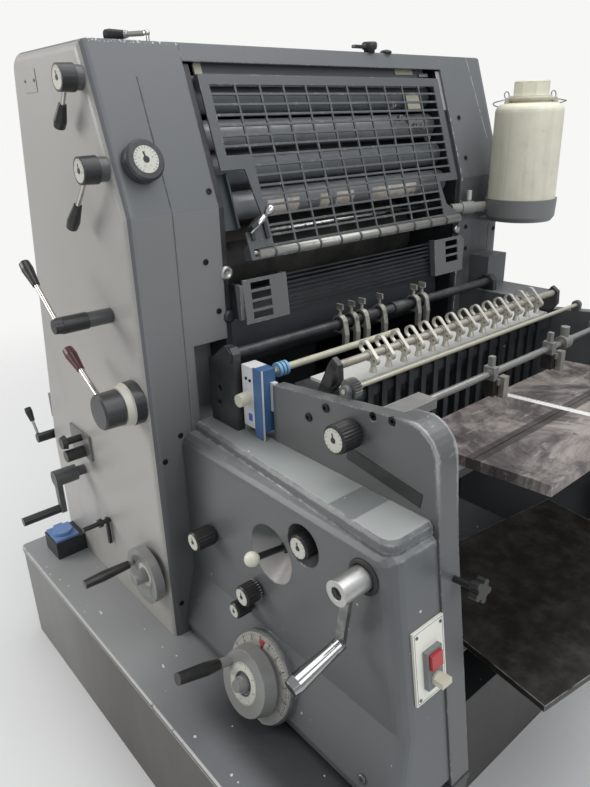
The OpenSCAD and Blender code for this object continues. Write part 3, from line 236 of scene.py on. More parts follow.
world = bpy.data.worlds.new("room")
scene.world = world
world.use_nodes = True
room = Net(world.node_tree)
backdrop = world.node_tree.nodes["Background"]
ray = room.node("ShaderNodeLightPath")
seen = (ray[0] + ray[3] * 0.25).held()
room.join(room.mixed(seen, (0.62, 0.66, 0.70), (0.93, 0.93, 0.92)), backdrop.inputs[0])
room.join(seen * 0.45 + 0.55, backdrop.inputs[1])


# Base
# One cast box under the whole machine with a lid that stands a little proud. It is sprayed in
# grey enamel, scuffed where people stand on the step and specked with dried solution.
def enamel(f, colour, rough=0.42, hammer=0.10, grime=0.25, dust=0.12, chips=0.0, chip_scale=60):
    """Sprayed enamel: colour drift, runs of grime, dust on top, an orange-peel skin and chipped edges."""
    drift = f.noise(2.3, 4, 0.6)
    runs = f.noise(9, 5, 0.65, stretch=(1, 1, 0.16))
    fine = f.noise(190, 2)
    shade = (drift - 0.5) * 0.30 + (runs - 0.5) * grime
    tone = f.mixed(shade + 0.5, [c * 0.80 for c in colour], [min(1, c * 1.20) for c in colour])
    top = f.face_z.between(0.4, 0.9) * f.patches(14, 0.35, 0.75) * dust
    tone = f.mixed(top, tone, (0.42, 0.41, 0.39))
    gloss = rough + (runs - 0.5) * 0.16 + (fine - 0.5) * 0.08 + top * 0.5
    height = f.noise(420, 2, 0.6) * hammer
    metal = 0.0
    if chips:
        patches = f.patches(chip_scale, 0.62 - chips, 0.68 - chips * 0.6, 4)
        worn = (f.edge(0.004).between(0.02, 0.16) * patches).held()
        tone = f.mixed(worn, tone, (0.40, 0.41, 0.41))
        gloss = gloss - worn * 0.08
        height = height - worn * 0.12
        metal = worn * 0.35
    return tone, gloss, metal, height


def paint(names, f, look, soften=0.0012):
    """Finishes a material and lays it on whole parts of the machine."""
    material = f.done(look, soften)
    for name in names.split():
        slots = nodes[name].data.materials
        if not len(slots):
            slots.append(material)
        for i in range(len(slots)):
            slots[i] = material
    return material


def coated(names, label, soften, make, *look):
    """Lays a finish of one look on whole parts of the machine."""
    f = Finish(label)
    return paint(names, f, make(f, *look), soften)


lid_top = 0.2925
lid_seam = (0.2840, 0.2862)
lid_side = -0.7285
f = Finish("base_enamel")
look = enamel(f, (0.150, 0.146, 0.142), 0.38, 0.10, 0.22, 0.14)
up = f.face_z.between(0.5, 0.9)
feeder_half = f.x.between(-0.02, 0.30)
in_shade = up * f.x.between(0.10, 0.30) * f.y.between(-0.70, -0.63)
smears = f.noise(5, 6, 0.72, bend=0.6).between(0.50, 0.80) * up
specks = f.patches(72, 0.772, 0.778, 1, 0.4) * up
rim = ((f.z > lid_top) + (f.z > lid_seam[0]) * (f.z < lid_seam[1])) * (f.y < lid_side)
worn_rim = (rim * f.patches(50, 0.30, 0.42, 4)).held()
# Painted light and shade: the top is painted paler where x is below 0 and darker under the feeder, and
# in_shade is a painted shadow before the housing's foot.
tone = f.layered(look[0],
                 (f.x.between(-0.45, -0.02) * (1 - up) * 0.95, (0.043, 0.037, 0.034)),
                 (up * (1 - feeder_half) * 0.9, (0.320, 0.322, 0.325)),
                 (up * feeder_half * 0.9, (0.165, 0.172, 0.180)),
                 (in_shade * 0.9, (0.030, 0.031, 0.033)),
                 (smears * 0.35, (0.26, 0.27, 0.28)),
                 (specks, (0.72, 0.72, 0.70)),
                 (worn_rim * 0.9, (0.60, 0.59, 0.57)))
paint("base_plinth", f, (tone, *look[1:]), 0.003)


# Tower covers
# Four pressed and welded sheet covers, rounded along the side covers' outer edges. The operator
# side is a lighter, warmer grey with a satin sheen; the rest is blue grey.
side_grey = (0.425, 0.407, 0.380)
front_grey = (0.145, 0.150, 0.157)
f = Finish("cover_enamel")
light = enamel(f, side_grey, 0.36, 0.05, 0.20, 0.10, 0.10)
dark = enamel(f, front_grey, 0.38, 0.08, 0.22, 0.10, 0.10)
outer_side = (f.face_y * -1).between(0.55, 0.90)
# Painted light: the upright part of the front is painted paler than the slope above it.
upright = f.face_x.between(0.955, 0.985) * (0.62 + f.noise(4, 4, 0.6) * 0.3)
# Painted shade: the front is painted darker below about z 1.05.
painted_low_shade = (1 - f.z.between(0.70, 1.05)) * f.face_x.between(0.5, 0.8)
side_edge_y = -0.5905
top_edge_z = 1.545
rim = (((f.y < side_edge_y) + (f.z > top_edge_z)) * (f.face_x > 0.2)).held()
paler = f.layered(dark[0],
                  (upright, (0.235, 0.238, 0.236)),
                  (painted_low_shade * 0.60, (0.042, 0.044, 0.046)),
                  (rim * f.patches(150, 0.545, 0.60, 3, 0.6), (0.60, 0.60, 0.58)))
smear = f.noise(5, 6, 0.7, stretch=(1, 1, 0.35)).between(0.50, 0.85) * (1 - f.z.between(0.5, 1.1))
lower = f.mixed(smear * 0.55, light[0], (0.135, 0.130, 0.125))
paint("operator_cover", f, two_looks(f, outer_side, (paler, *dark[1:]), (lower, *light[1:])), 0.004)

coated("top_cover", "front_enamel", 0.003, enamel, front_grey, 0.38, 0.08, 0.22, 0.12, 0.10)
f = Finish("far_cover_enamel")
look = enamel(f, front_grey, 0.38, 0.08, 0.22, 0.12, 0.10)
# Darker in patches on the front below about z 1.2 to 1.36.
low_front_dark_patches = f.patches(8, 0.35, 0.65) * (1 - f.z.between(1.20, 1.36)) * f.face_x.between(0.6, 0.9)
# Painted highlight: a thin pale line along the front above z 1.345, broken in patches, where the cover's
# rounded edge catches light. The inner rim is rubbed pale.
off_line = f.y - 0.516 + (f.z - 1.529) * 0.13
highlight_line = (off_line * off_line < 0.0010 ** 2) * (f.z > 1.345) * (f.face_x > 0.5)
inner_rim = (f.y < 0.3965) * (f.face_x > 0.5) * (f.z < 1.40)
pale_marks = highlight_line * f.patches(60, 0.40, 0.50, 3, 0.6) + inner_rim * f.patches(90, 0.52, 0.58, 3, 0.6)
tone = f.layered(look[0], (low_front_dark_patches * 0.6, (0.050, 0.050, 0.052)), (pale_marks * 0.8, (0.55, 0.56, 0.56)))
paint("far_cover", f, (tone, *look[1:]), 0.003)
rear_look = (enamel, (0.12, 0.125, 0.13), 0.42, 0.08, 0.22, 0.12, 0.06)
rear_paint = (coated("rear_cover", "rear_enamel", 0.003, *rear_look), "dark_paint")


def coat(name, slot, soften, make, *look):
    """The finish of an added piece, and the slot that it answers to."""
    f = Finish(name)
    return f.done(make(f, *look), soften), slot


def new_piece(name, mesh, finish, body, smooth):
    """Puts a finished mesh on the machine, riding on one of its bodies."""
    material, slot = finish
    piece = bpy.data.objects.new(name, mesh)
    scene.collection.objects.link(piece)
    mesh.materials.clear()
    mesh.materials.append(material)
    for face in mesh.polygons:
        face.use_smooth = smooth
    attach(piece, body)


def seat(centre, out, up=(0, 0, 1)):
    """A flat seat at a place: +X to the right along it, +Y up, +Z away from it."""
    out = Vector(out).normalized()
    up = (Vector(up) - Vector(up).dot(out) * out).normalized()
    return Matrix.Translation(centre) @ Matrix((up.cross(out), up, out)).transposed().to_4x4()


def to_mesh(shape):
    mesh = bpy.data.meshes.new("shape")
    shape.to_mesh(mesh)
    shape.free()
    return mesh


def skin(rings, around=True, joined=False, first=False, last=False, edge=0):
    """A mesh over rings of points, a tip being a ring of one.

    The last ring may be joined to the first one, and the first and last may be closed by a face.
    """
    shape = bmesh.new()
    rings = [[shape.verts.new(point) for point in ring] for ring in rings]
    for low, high in zip(rings, rings[1:] + rings[:joined]):
        count = max(len(low), len(high))
        for i in range(count if around else count - 1):
            j = (i + 1) % count
            corners = (low[i % len(low)], low[j % len(low)], high[j % len(high)], high[i % len(high)])
            corners = list(dict.fromkeys(corners))
            if len(corners) > 2:
                shape.faces.new(corners)
    if first:
        shape.faces.new(rings[0][::-1])
    if last:
        shape.faces.new(rings[-1])
    bmesh.ops.recalc_face_normals(shape, faces=shape.faces)
    if edge:
        bmesh.ops.bevel(shape, geom=shape.edges[:], offset=edge, segments=2, affect="EDGES", profile=0.6)
    return to_mesh(shape)


def circle(radius, height, sides, dent=1):
    """Points about +Z, every other one drawn in by dent, or a tip where the radius is 0."""
    if not radius:
        return [(0, 0, height)]
    turns = [wave(360 * i / sides) for i in range(sides)]
    reach = [radius, radius * dent]
    return [(reach[i % 2] * cos, reach[i % 2] * sin, height) for i, (cos, sin) in enumerate(turns)]


def turned(name, profile, centre, out, finish, sides=48, body="press", smooth=True):
    """A turned piece: (radius, height) pairs spun about an axis that points out from centre."""
    mesh = skin([circle(radius, height, sides) for radius, height in profile])
    mesh.transform(seat(centre, out, (0, 0, 1) if abs(Vector(out).z) < 0.9 else (1, 0, 0)))
    new_piece(name, mesh, finish, body, smooth)


def slab(name, outline, thick, centre, out, finish, edge=0.0008, body="press", up=(0, 0, 1)):
    """A flat plate cut to an outline, or to a width and height, its rim rounded over."""
    if isinstance(outline, tuple):
        outline = [(x * outline[0] / 2, y * outline[1] / 2) for x, y in ((-1, -1), (1, -1), (1, 1), (-1, 1))]
    mesh = skin([[(x, y, z) for x, y in outline] for z in (0, thick)], first=True, last=True, edge=edge)
    mesh.transform(seat(centre, out, up))
    new_piece(name, mesh, finish, body, False)


def dark_steel(f, colour, rough):
    scratch = f.noise(120, 4, 0.6, stretch=(1, 1, 0.2))
    tone = f.mixed(f.noise(40, 4).between(0.3, 0.7), colour, [c * 1.7 for c in colour])
    return tone, rough + (scratch - 0.5) * 0.3, 0.8, scratch * 0.03


screw_steel = coat("screw_steel", "steel", 0.0004, dark_steel, (0.17, 0.17, 0.165), 0.34)
black_screw = coat("black_screw", "black_paint", 0.0004, dark_steel, (0.02, 0.02, 0.021), 0.42)


def socket_head(radius, height, key):
    """A screw's head with a hexagon recess."""
    rim = ((radius, 0), (radius, height * 0.8), (radius * 0.9, height), (key * 1.05, height))
    rings = [circle(r, h, 12) for r, h in rim] + [circle(key, h, 12, 0.87) for h in (height, height * 0.25)]
    return skin(rings, last=True)


def set_out(name, spots, pattern, finish, body="press", seed=1, spin=True):
    """Repeats a small shape at spots and makes one mesh of them.

    A spot is a place and the way it faces, and where it isn't spun, also the way its top points.
    """
    mesh = bpy.data.meshes.new(name)
    mesh.from_pydata([spot[0] for spot in spots], [], [])
    for key, label in ((1, "faces_to"), (2, "top_to")):
        held = mesh.attributes.new(label, "FLOAT_VECTOR", "POINT")
        for i, spot in enumerate(spots):
            held.data[i].vector = spot[key] if len(spot) > key else (0, 0, 1)
    holder = bpy.data.objects.new(name, mesh)
    template = bpy.data.objects.new(name + "_pattern", pattern)
    for item in (holder, template):
        scene.collection.objects.link(item)
    tree = bpy.data.node_groups.new(name, "GeometryNodeTree")
    tree.interface.new_socket("Geometry", in_out="INPUT", socket_type="NodeSocketGeometry")
    tree.interface.new_socket("Size", in_out="INPUT", socket_type="NodeSocketFloat").default_value = 1
    tree.interface.new_socket("Seed", in_out="INPUT", socket_type="NodeSocketInt").default_value = seed
    tree.interface.new_socket("Geometry", in_out="OUTPUT", socket_type="NodeSocketGeometry")
    net = Net(tree)
    given = net.node("NodeGroupInput")
    way, top = [net.node("GeometryNodeInputNamedAttribute", {"data_type": "FLOAT_VECTOR"}, {0: label})[0]
                for label in ("faces_to", "top_to")]
    if not spin:
        turn = net.node("FunctionNodeAxesToRotation",
                        {"primary_axis": "Z", "secondary_axis": "Y"}, {0: way, 1: top})[0]
    else:
        turn = net.node("FunctionNodeAlignRotationToVector", {"axis": "Z"}, {2: way})[0]
        angle = net.node("FunctionNodeRandomValue", {"data_type": "FLOAT"}, {2: 0.0, 3: 6.28, 8: given[2]})[1]
        about = net.node("FunctionNodeAxisAngleToRotation", {}, {0: (0, 0, 1), 1: angle})[0]
        turn = net.node("FunctionNodeRotateRotation", {"rotation_space": "LOCAL"}, {0: turn, 1: about})[0]
    shape = net.node("GeometryNodeObjectInfo", {}, {0: template})[4]
    many = net.node("GeometryNodeInstanceOnPoints", {}, {0: given[0], 2: shape, 5: turn, 6: given[1]})[0]
    real = net.node("GeometryNodeRealizeInstances", {}, {0: many})[0]
    clad = net.node("GeometryNodeSetMaterial", {}, {0: real, 2: finish[0]})[0]
    net.join(clad, tree.nodes.new("NodeGroupOutput").inputs[0])
    holder.modifiers.new("repeat", "NODES").node_group = tree
    bpy.context.view_layer.update()
    final = bpy.data.meshes.new_from_object(holder.evaluated_get(bpy.context.evaluated_depsgraph_get()))
    final.name = name
    holder.modifiers.clear()
    for item in (holder, template):
        bpy.data.objects.remove(item)
    new_piece(name, final, finish, body, False)


operator_out = (0, -1, 0)
tower_front_y = -0.594
plate_centre = Vector((-0.3395, tower_front_y, 1.4935))
plate_paint = coat("plate_enamel", "side_paint", 0.0005, enamel, side_grey, 0.34, 0.03, 0.1)
slab("top_plate", (0.061, 0.043), 0.0016, plate_centre, operator_out, plate_paint)
set_out("top_plate_screws", [(plate_centre + Vector((s * 0.024, -0.0016, 0)), operator_out) for s in (-1, 1)],
        socket_head(0.0032, 0.0016, 0.0014), screw_steel)

slant = 102 / 298
slant_from = 1.252
slant_out = Vector((1, 0, slant)).normalized()


def front_spot(y, z):
    """A place on the tower's front, with the way that it faces."""
    if z > slant_from:
        return Vector((-(z - slant_from) * slant, y, z)), slant_out
    return Vector((0, y, z)), Vector((1, 0, 0))


front_screws = ((-0.405, 1.284), (-0.432, 1.152), (-0.409, 1.047), (-0.570, 0.754),
                (-0.570, 0.385), (0.425, 1.300), (0.425, 1.120), (0.430, 1.060),
                (0.560, 1.100), (0.430, 1.400), (-0.528, 0.801))
cover_screw = socket_head(0.0062, 0.0022, 0.0034)
set_out("front_screws", [front_spot(y, z) for y, z in front_screws], cover_screw, black_screw, seed=3)


def mottled(f, first, second, rough, scale=60, detail=4, grain=0.5, span=None):
    """Two tones of one plastic or paint that run into each other."""
    cloud = f.noise(scale, detail, grain)
    return f.mixed(cloud.between(*span) if span else cloud, first, second), rough, 0.0, 0.0


top_knob = coat("top_knob_black", "black_plastic", 0.0006, mottled, (0.015, 0.015, 0.016),
                (0.04, 0.04, 0.042), 0.35)
profile = [(0, 0), (0.013, 0), (0.013, 0.005), (0.0175, 0.008), (0.0185, 0.014), (0.0180, 0.020),
           (0.0150, 0.0225), (0, 0.023)]
turned("top_knob", profile, (-0.108, 0.142, 1.550), (0, 0, 1), top_knob, 40)
slab("top_knob_arm", (0.014, 0.040), 0.007, (-0.108, 0.108, 1.558), (0, 0, 1), top_knob, 0.002, up=(0, 1, 0))
profile = [(0, 0), (0.014, 0), (0.0145, 0.003), (0.012, 0.006), (0.005, 0.008), (0, 0.008)]
turned("top_knob_small", profile, (-0.108, 0.200, 1.550), (0, 0, 1), top_knob, 32)


def met(name, start, way):
    """Where a straight line first meets a part of the machine, and the way that the part faces there."""
    return nodes[name].ray_cast(Vector(start), Vector(way))[1:3]


outside = 1.2
rear_screws = [(y, z) for y in (-0.345, 0.345) for z in (1.42, 1.06, 0.82, 0.42)]
rear_screws += [(y, z) for y in (-0.12, 0.12) for z in (1.42, 0.42)]
far_screws = ((-0.17, 1.46), (-0.40, 1.46), (-0.06, 1.10), (-0.47, 1.02), (-0.06, 0.62), (-0.52, 0.50))
spots = [met("rear_cover", (-outside, y, z), (1, 0, 0)) for y, z in rear_screws]
spots += [met("far_cover", (x, outside, z), operator_out) for x, z in far_screws]
set_out("cover_screws", spots, cover_screw, black_screw, seed=23)


def louvre(length, height, depth, sides=6, steps=12):
    """A hood pressed out of sheet, open along its lower edge."""
    rows = []
    for i in range(steps + 1):
        place = 2 * i / steps - 1
        fall = math.sqrt(max(0.0, 1 - abs(place) ** 6))
        rows.append([(place * length / 2, height * (1 - k / sides) - height / 2,
                      depth * fall * wave(90 * k / sides)[1]) for k in range(sides + 1)])
    return skin(rows, around=False)


vents = [(*met("rear_cover", (-outside, y, 0.52 + 0.024 * i), (1, 0, 0)), (0, 0, 1))
         for y in (-0.17, 0.17) for i in range(8)]
set_out("rear_louvres", vents, louvre(0.15, 0.013, 0.006), rear_paint, spin=False)


# Cylinders and inner frames
# Cast iron frames, black with oil, carry the plate cylinder, the blanket cylinder and the ink
# rollers. Steel rollers shine between rubber ones that are dark with ink.
def oily_cast(f, colour=(0.022, 0.023, 0.025), rough=0.42, dust=0.18):
    grain = f.noise(160, 4, 0.65)
    drift = f.noise(11, 5, 0.7)
    tone = f.mixed(drift.between(0.35, 0.75), colour, [c * 2.3 for c in colour])
    settled = f.face_z.between(0.3, 0.9) * f.patches(22, 0.4, 0.75) * dust
    tone = f.mixed(settled, tone, (0.24, 0.22, 0.20))
    return tone, rough + (drift - 0.5) * 0.35, 0.15, grain * 0.10


def worked_steel(f, colour, rough, drawn=0.12, stain=(0.20, 0.17, 0.14), amount=0.4, shine=1):
    """Steel with tool marks, drawn out round a shaft. It shines less where it is dusty or plated."""
    lines = f.noise(260, 3, 0.6, stretch=(1, drawn, 1))
    patch = f.patches(16, 0.45, 0.80, 6) * amount
    tone = f.mixed(patch, colour, stain)
    tone = f.mixed(((lines - 0.5) * 0.5 + 0.5).held() * 0.35, tone, (0.16, 0.15, 0.14))
    return tone, rough + (lines - 0.5) * 0.22 + patch * 0.35, 0.92 * shine, lines * 0.03


def rubber(f, cloud, first, second, rough, uneven, height):
    return f.mixed(cloud, first, second), rough + cloud * uneven, 0.0, cloud * height


f = Finish("oily_casting")
far_end = (f.y > 0.370) * (f.z > 1.42) * (f.face_x > 0.5)
bare = worked_steel(f, (0.52, 0.50, 0.48), 0.36, 1, (0.20, 0.18, 0.17), 0.7, 0.4)
paint("inner_frames cross_members pile_stop board_guides", f,
      two_looks(f, far_end, oily_cast(f), bare), 0.0015)
f = Finish("plate_steel")
low_end = oily_cast(f, (0.040, 0.038, 0.035), 0.36)
plate = worked_steel(f, (0.60, 0.55, 0.50), 0.40, 0.1, (0.42, 0.30, 0.25), 0.8)
paint("plate_cylinder", f, two_looks(f, f.z.between(1.148, 1.152), low_end, plate), 0.0008)
f = Finish("blanket_rubber")
worn = f.noise(30, 4, 0.6, stretch=(1, 0.3, 1))
paint("blanket_cylinder", f, rubber(f, worn, (0.030, 0.034, 0.040), (0.060, 0.066, 0.072), 0.45, 0.1, 0.05))
f = Finish("ink_rubber")
wet = f.noise(26, 4, 0.6, stretch=(1, 0.25, 1))
look = rubber(f, wet, (0.120, 0.130, 0.142), (0.21, 0.222, 0.235), 0.30, 0.2, 0.03)
paint("ink_roller_1 ink_roller_3", f, look)
coated("ink_roller_2", "ink_steel", 0.0008, worked_steel, (0.36, 0.37, 0.38), 0.34, 0.1,
       (0.16, 0.16, 0.17), 0.7, 0.5)
f = Finish("gummed_steel")
inked = worked_steel(f, (0.30, 0.31, 0.32), 0.34, 0.1, (0.12, 0.12, 0.13), 0.7, 0.5)
gum = 0.0
blur = 0.004
for start, end in ((-0.240, -0.150), (-0.085, -0.055), (-0.035, 0.022), (0.086, 0.250)):
    gum = gum + f.y.between(start - blur, start + blur) * (1 - f.y.between(end - blur, end + blur))
gum = (gum * (f.z < 1.250) * (f.z > 1.205) * f.patches(55, 0.32, 0.38, 4)).held()
pink = f.mixed(f.noise(38, 5, 0.7, stretch=(1, 0.4, 1)).between(0.35, 0.65),
               (0.80, 0.74, 0.66), (0.58, 0.47, 0.40))
paint("ink_roller_4", f, (f.mixed(gum, inked[0], pink), inked[1], inked[2] * (1 - gum), inked[3]), 0.0008)
drum_steel = coat("drum_steel", "steel", 0.0008, worked_steel, (0.20, 0.21, 0.22), 0.34, 0.1,
                  (0.10, 0.10, 0.11), 0.7, 0.4)
drum_length = 0.746
edge = 0.002
for label, z, radius in (("ink_drum", 1.330, 0.085), ("ink_drum_upper", 1.478, 0.040)):
    profile = [(0, 0), (radius - edge, 0), (radius, edge), (radius, drum_length - edge),
               (radius - edge, drum_length), (0, drum_length)]
    turned(label, profile, (-0.250, -drum_length / 2, z), (0, 1, 0), drum_steel, 64)


# Grille guard
# A guard pressed from one sheet with rows of openings, hinged at its top and painted like the
# covers. A chrome tube is strapped along its lower edge, with a short bright handle near the operator.
coated("grille_guard", "guard_enamel", 0.0008, enamel, (0.098, 0.106, 0.110), 0.36, 0.05, 0.30, 0.20, 0.06)


def chrome(f, colour=(0.62, 0.62, 0.61), rough=0.14, dirt=0.35, shine=1):
    spots = f.patches(70, 0.5, 0.85) * dirt
    return f.mixed(spots, colour, (0.17, 0.15, 0.13)), rough + spots * 0.4, (1 - spots * 0.4) * shine, 0.0


f = Finish("guard_chrome")
sleeve = 0.0
for start, end in ((-0.300, -0.286), (0.262, 0.276), (-0.020, -0.006)):
    sleeve = sleeve + (f.y > start) * (f.y < end)
paint("guard_roller", f, two_looks(f, sleeve, chrome(f, (0.66, 0.65, 0.62), 0.26, 0.6), oily_cast(f)), 0.0006)


def bar(name, path, radius, finish, body="press", sides=16):
    """A round bar along a path of points, with one radius or one for each point."""
    points = [Vector(point) for point in path]
    rings = []
    side = None
    for i, point in enumerate(points):
        ahead = (points[min(i + 1, len(points) - 1)] - points[max(i - 1, 0)]).normalized()
        if side is None:
            side = ahead.orthogonal().normalized()
        side = (side - side.dot(ahead) * ahead).normalized()
        other = ahead.cross(side)
        reach = radius[i] if isinstance(radius, tuple) else radius
        turns = [wave(360 * k / sides) for k in range(sides)]
        rings.append([point + reach * (cos * side + sin * other) for cos, sin in turns])
    new_piece(name, skin(rings, first=True, last=True), finish, body, True)


guard_top = Vector((-0.242 * slant, 0, 1.494))
guard_down = Vector((slant_out.z, 0, -slant_out.x))
guard_thick = 0.004


def on_guard(down, y, out=0.0):
    """A place on the guard's face, by its distance down the slope from the guard's top edge."""
    return guard_top + guard_down * down + Vector((0, y, 0)) + slant_out * (guard_thick + out)


def tick(width, length, thick=0.0003, edge=0):
    """A small flat mark or tab."""
    shape = bmesh.new()
    bmesh.ops.create_cube(shape, size=1)
    bmesh.ops.scale(shape, vec=(width, length, thick), verts=shape.verts)
    if edge:
        bmesh.ops.bevel(shape, geom=shape.edges[:], offset=edge, segments=2, affect="EDGES")
    return to_mesh(shape)


rod_chrome = coat("rod_chrome", "chrome", 0.0004, chrome)
cup_finish = coat("cup_steel", "steel", 0.0004, worked_steel, (0.52, 0.51, 0.49), 0.32)
guard_dark = coat("guard_dark", "black_paint", 0.0008, oily_cast, (0.02, 0.02, 0.022), 0.35)
channel_paint = coat("channel_enamel", "dark_paint", 0.0008, enamel, (0.045, 0.056, 0.060), 0.30, 0.05, 0.2)
latch_cream = coat("latch_cream", "cream_plastic", 0.0006, mottled,
                   (0.66, 0.63, 0.50), (0.50, 0.47, 0.36), 0.4)
handle_low = on_guard(0.315, -0.338, 0.007)
handle_high = on_guard(0.285, -0.306, 0.030)
handle_way = (handle_high - handle_low).normalized()
bar("guard_handle", (handle_low, handle_low.lerp(handle_high, 0.4), handle_high),
    (0.0040, 0.0046, 0.0060), rod_chrome, "guard")
bar("guard_handle_sleeve", [handle_high + handle_way * reach for reach in (0, 0.004, 0.017, 0.019)],
    (0.0078, 0.0088, 0.0084, 0.0068), rod_chrome, "guard")
outline = [(-0.018, -0.006), (0.014, 0.010), (0.020, 0.022), (0.008, 0.020), (-0.020, 0.002)]
slab("guard_handle_wedge", outline, 0.022, on_guard(0.305, -0.322), slant_out, guard_dark, 0.0015, "guard")
slab("guard_handle_stay", (0.008, 0.034), 0.006, on_guard(0.312, -0.296), slant_out,
     guard_dark, 0.001, "guard")
slab("guard_keeper", (0.008, 0.014), 0.005, on_guard(0.322, -0.332), slant_out, guard_dark, 0.001, "guard")
pins = ((0.296, -0.326), (0.330, -0.312), (0.340, -0.300))
set_out("guard_handle_pins", [(on_guard(down, y), slant_out) for down, y in pins],
        socket_head(0.0026, 0.0014, 0.0012), screw_steel, "guard", 13)
outline = [(-0.009, -0.012), (0.009, -0.012), (0.009, 0.012), (-0.005, 0.012), (-0.009, 0.009)]
slab("latch_lamp", outline, 0.006, on_guard(-0.019, -0.348, -0.0276), slant_out, latch_cream)
channel_height = 0.112
slab("guard_channel", (0.032, channel_height), 0.003, on_guard(0.243, -0.360, -0.030),
     slant_out, channel_paint, 0.0006)
slab("guard_channel_lip", (0.004, channel_height), 0.014, on_guard(0.243, -0.346, -0.030),
     slant_out, channel_paint, 0.0006)
tabs = [(on_guard(down, -0.386, -0.014), (0, 1, 0), slant_out) for down in (0.042, 0.082, 0.118, 0.150)]
set_out("cover_tabs", tabs, tick(0.0030, 0.0045, 0.012, 0.0006), screw_steel, spin=False)

bar("guard_inner_rod", [(-0.020, y, 1.190) for y in (-0.300, 0.300)], 0.0042, rod_chrome)
edge_tube = coat("edge_tube_chrome", "chrome", 0.0004, chrome, (0.40, 0.39, 0.36), 0.36, 0.9, 0.6)
tube_down = 0.3568
tube_in = -0.0055
tube_radius = 0.0105
guard_column = 0.06327
bar("guard_edge_tube", [on_guard(tube_down, y, tube_in) for y in (-0.322, 0.346)],
    tube_radius, edge_tube, "guard", 32)


def band_mesh(inner, outer, length):
    """A flat ring round a bar that runs along +Z."""
    half = length / 2
    rim = ((inner, -half), (outer, -half), (outer, half), (inner, half))
    return skin([circle(r, h, 28) for r, h in rim], joined=True)


strap_look = (enamel, (0.070, 0.075, 0.078), 0.36, 0.05, 0.30, 0.20)
strap_paint = coat("strap_enamel", "dark_paint", 0.0006, *strap_look)
straps = [(on_guard(tube_down, -0.348 + guard_column * i, tube_in), (0, 1, 0)) for i in range(1, 11)]
strap = band_mesh(tube_radius - 0.0001, tube_radius + 0.0017, 0.0048)
set_out("guard_straps", straps, strap, strap_paint, "guard")
slab("band_plate", (0.066, 0.021), 0.0010, (-0.1135, 0.272, 1.5140), slant_out, latch_cream, 0.0003)
slab("band_hook", (0.034, 0.009), 0.004, (-0.1090, 0.343, 1.5030), slant_out, cup_finish, 0.001)
slab("roller_shield", (0.052, 0.036), 0.003, on_guard(0.047, 0.292, -0.032), slant_out, latch_cream)
fittings = ((0.056, 0.205), (0.088, 0.222), (0.094, 0.250), (0.108, 0.272), (0.112, 0.300), (0.140, 0.312))
set_out("roller_fittings", [(on_guard(down, y, -0.030), slant_out) for down, y in fittings],
        socket_head(0.0075, 0.010, 0.0030), cup_finish, seed=17)


# Fixed guard under the grille
# Dark slats pressed in a sheet, with a paler bracket bolted at each end. The brackets have four
# slots in which the sheet guides are set.
f = Finish("slat_enamel")
dark = oily_cast(f, (0.018, 0.020, 0.023), 0.40)
pale = enamel(f, (0.150, 0.152, 0.152), 0.42, 0.04, 0.20, 0.10, 0.12)
lean = math.atan(0.11)
on_plate = f.along((0.030, 0, 1.016), (math.cos(lean), 0, math.sin(lean))) > -0.006
bracket = ((f.y > 0.2505) + (f.y < -0.2505)) * on_plate
paint("lower_guard", f, two_looks(f, bracket, dark, pale), 0.0006)
stud_y = 0.384
profile = [(0, 0), (0.015, 0), (0.0155, 0.004), (0.013, 0.008), (0.008, 0.009), (0.006, 0.006),
           (0.0035, 0.006), (0, 0.0055)]
turned("guard_stud", profile, (-0.004, -stud_y, 1.122), (1, 0, 0), cup_finish, 32)
profile = [(0, 0), (0.012, 0), (0.0125, 0.004), (0.010, 0.008), (0.006, 0.009), (0, 0.008)]
turned("guard_stud_far", profile, (-0.004, stud_y, 1.118), (1, 0, 0), cup_finish, 32)
profile = [(0, 0), (0.014, 0), (0.0145, 0.004), (0.012, 0.008), (0.007, 0.009), (0, 0.007)]
turned("guard_stud_low", profile, (-0.004, -stud_y, 1.030), (1, 0, 0), (guard_dark[0], "steel"), 32)


# Feeder housing
# A rounded casting with a flared foot and a raised pad, sprayed in hammered grey. Two recesses
# take a lever and a knob; the pad is polished by hands and tools.
housing_grey = (0.125, 0.130, 0.133)
pad_top = 0.8195
recess_x = 0.294
recess_z = 0.658
f = Finish("housing_enamel")
look = enamel(f, housing_grey, 0.33, 0.22, 0.26, 0.22, 0.12)
bowl = (f.off_shaft(recess_x, recess_z) < 0.0612) * (f.y > -0.5262)
flat = (f.face_z.between(0.6, 0.95) * f.patches(6, 0.30, 0.8) * 0.55).held()
raised = (f.z > pad_top) * f.face_z.between(0.80, 0.95)
clamp_mark = f.x.between(0.426, 0.429) * (1 - f.x.between(0.487, 0.491)) * raised
pale_marks = f.edge(0.010).between(0.02, 0.12) * (f.z > 0.780) * f.patches(30, 0.42, 0.60)
# Painted shade: the housing is painted darker next to the tower, below z 0.80.
corner = (1 - f.x.between(0.02, 0.15)) * (f.z < 0.80)
tone = f.layered(look[0],
                 (bowl * f.face_z.between(-0.5, 0.5), (0.40, 0.375, 0.36)),
                 (flat, (0.24, 0.25, 0.25)),
                 (raised * (0.30 + f.x.between(0.10, 0.34) * 0.55), (0.41, 0.43, 0.42)),
                 (clamp_mark * 0.7, (0.125, 0.130, 0.132)),
                 (pale_marks * 0.8, (0.50, 0.51, 0.50)),
                 (f.patches(61, 0.785, 0.792, 1, 0.4), (0.60, 0.60, 0.58)),
                 (corner * 0.60, (0.030, 0.031, 0.033)))
paint("feeder_housing", f, (tone, look[1] - flat * 0.08 - bowl * 0.08, *look[2:]), 0.004)
collar_rubber = coat("collar_rubber", "black_plastic", 0.0006, mottled,
                     (0.010, 0.010, 0.011), (0.03, 0.03, 0.03), 0.5)
crank_x = 0.533
crank_z = 0.745
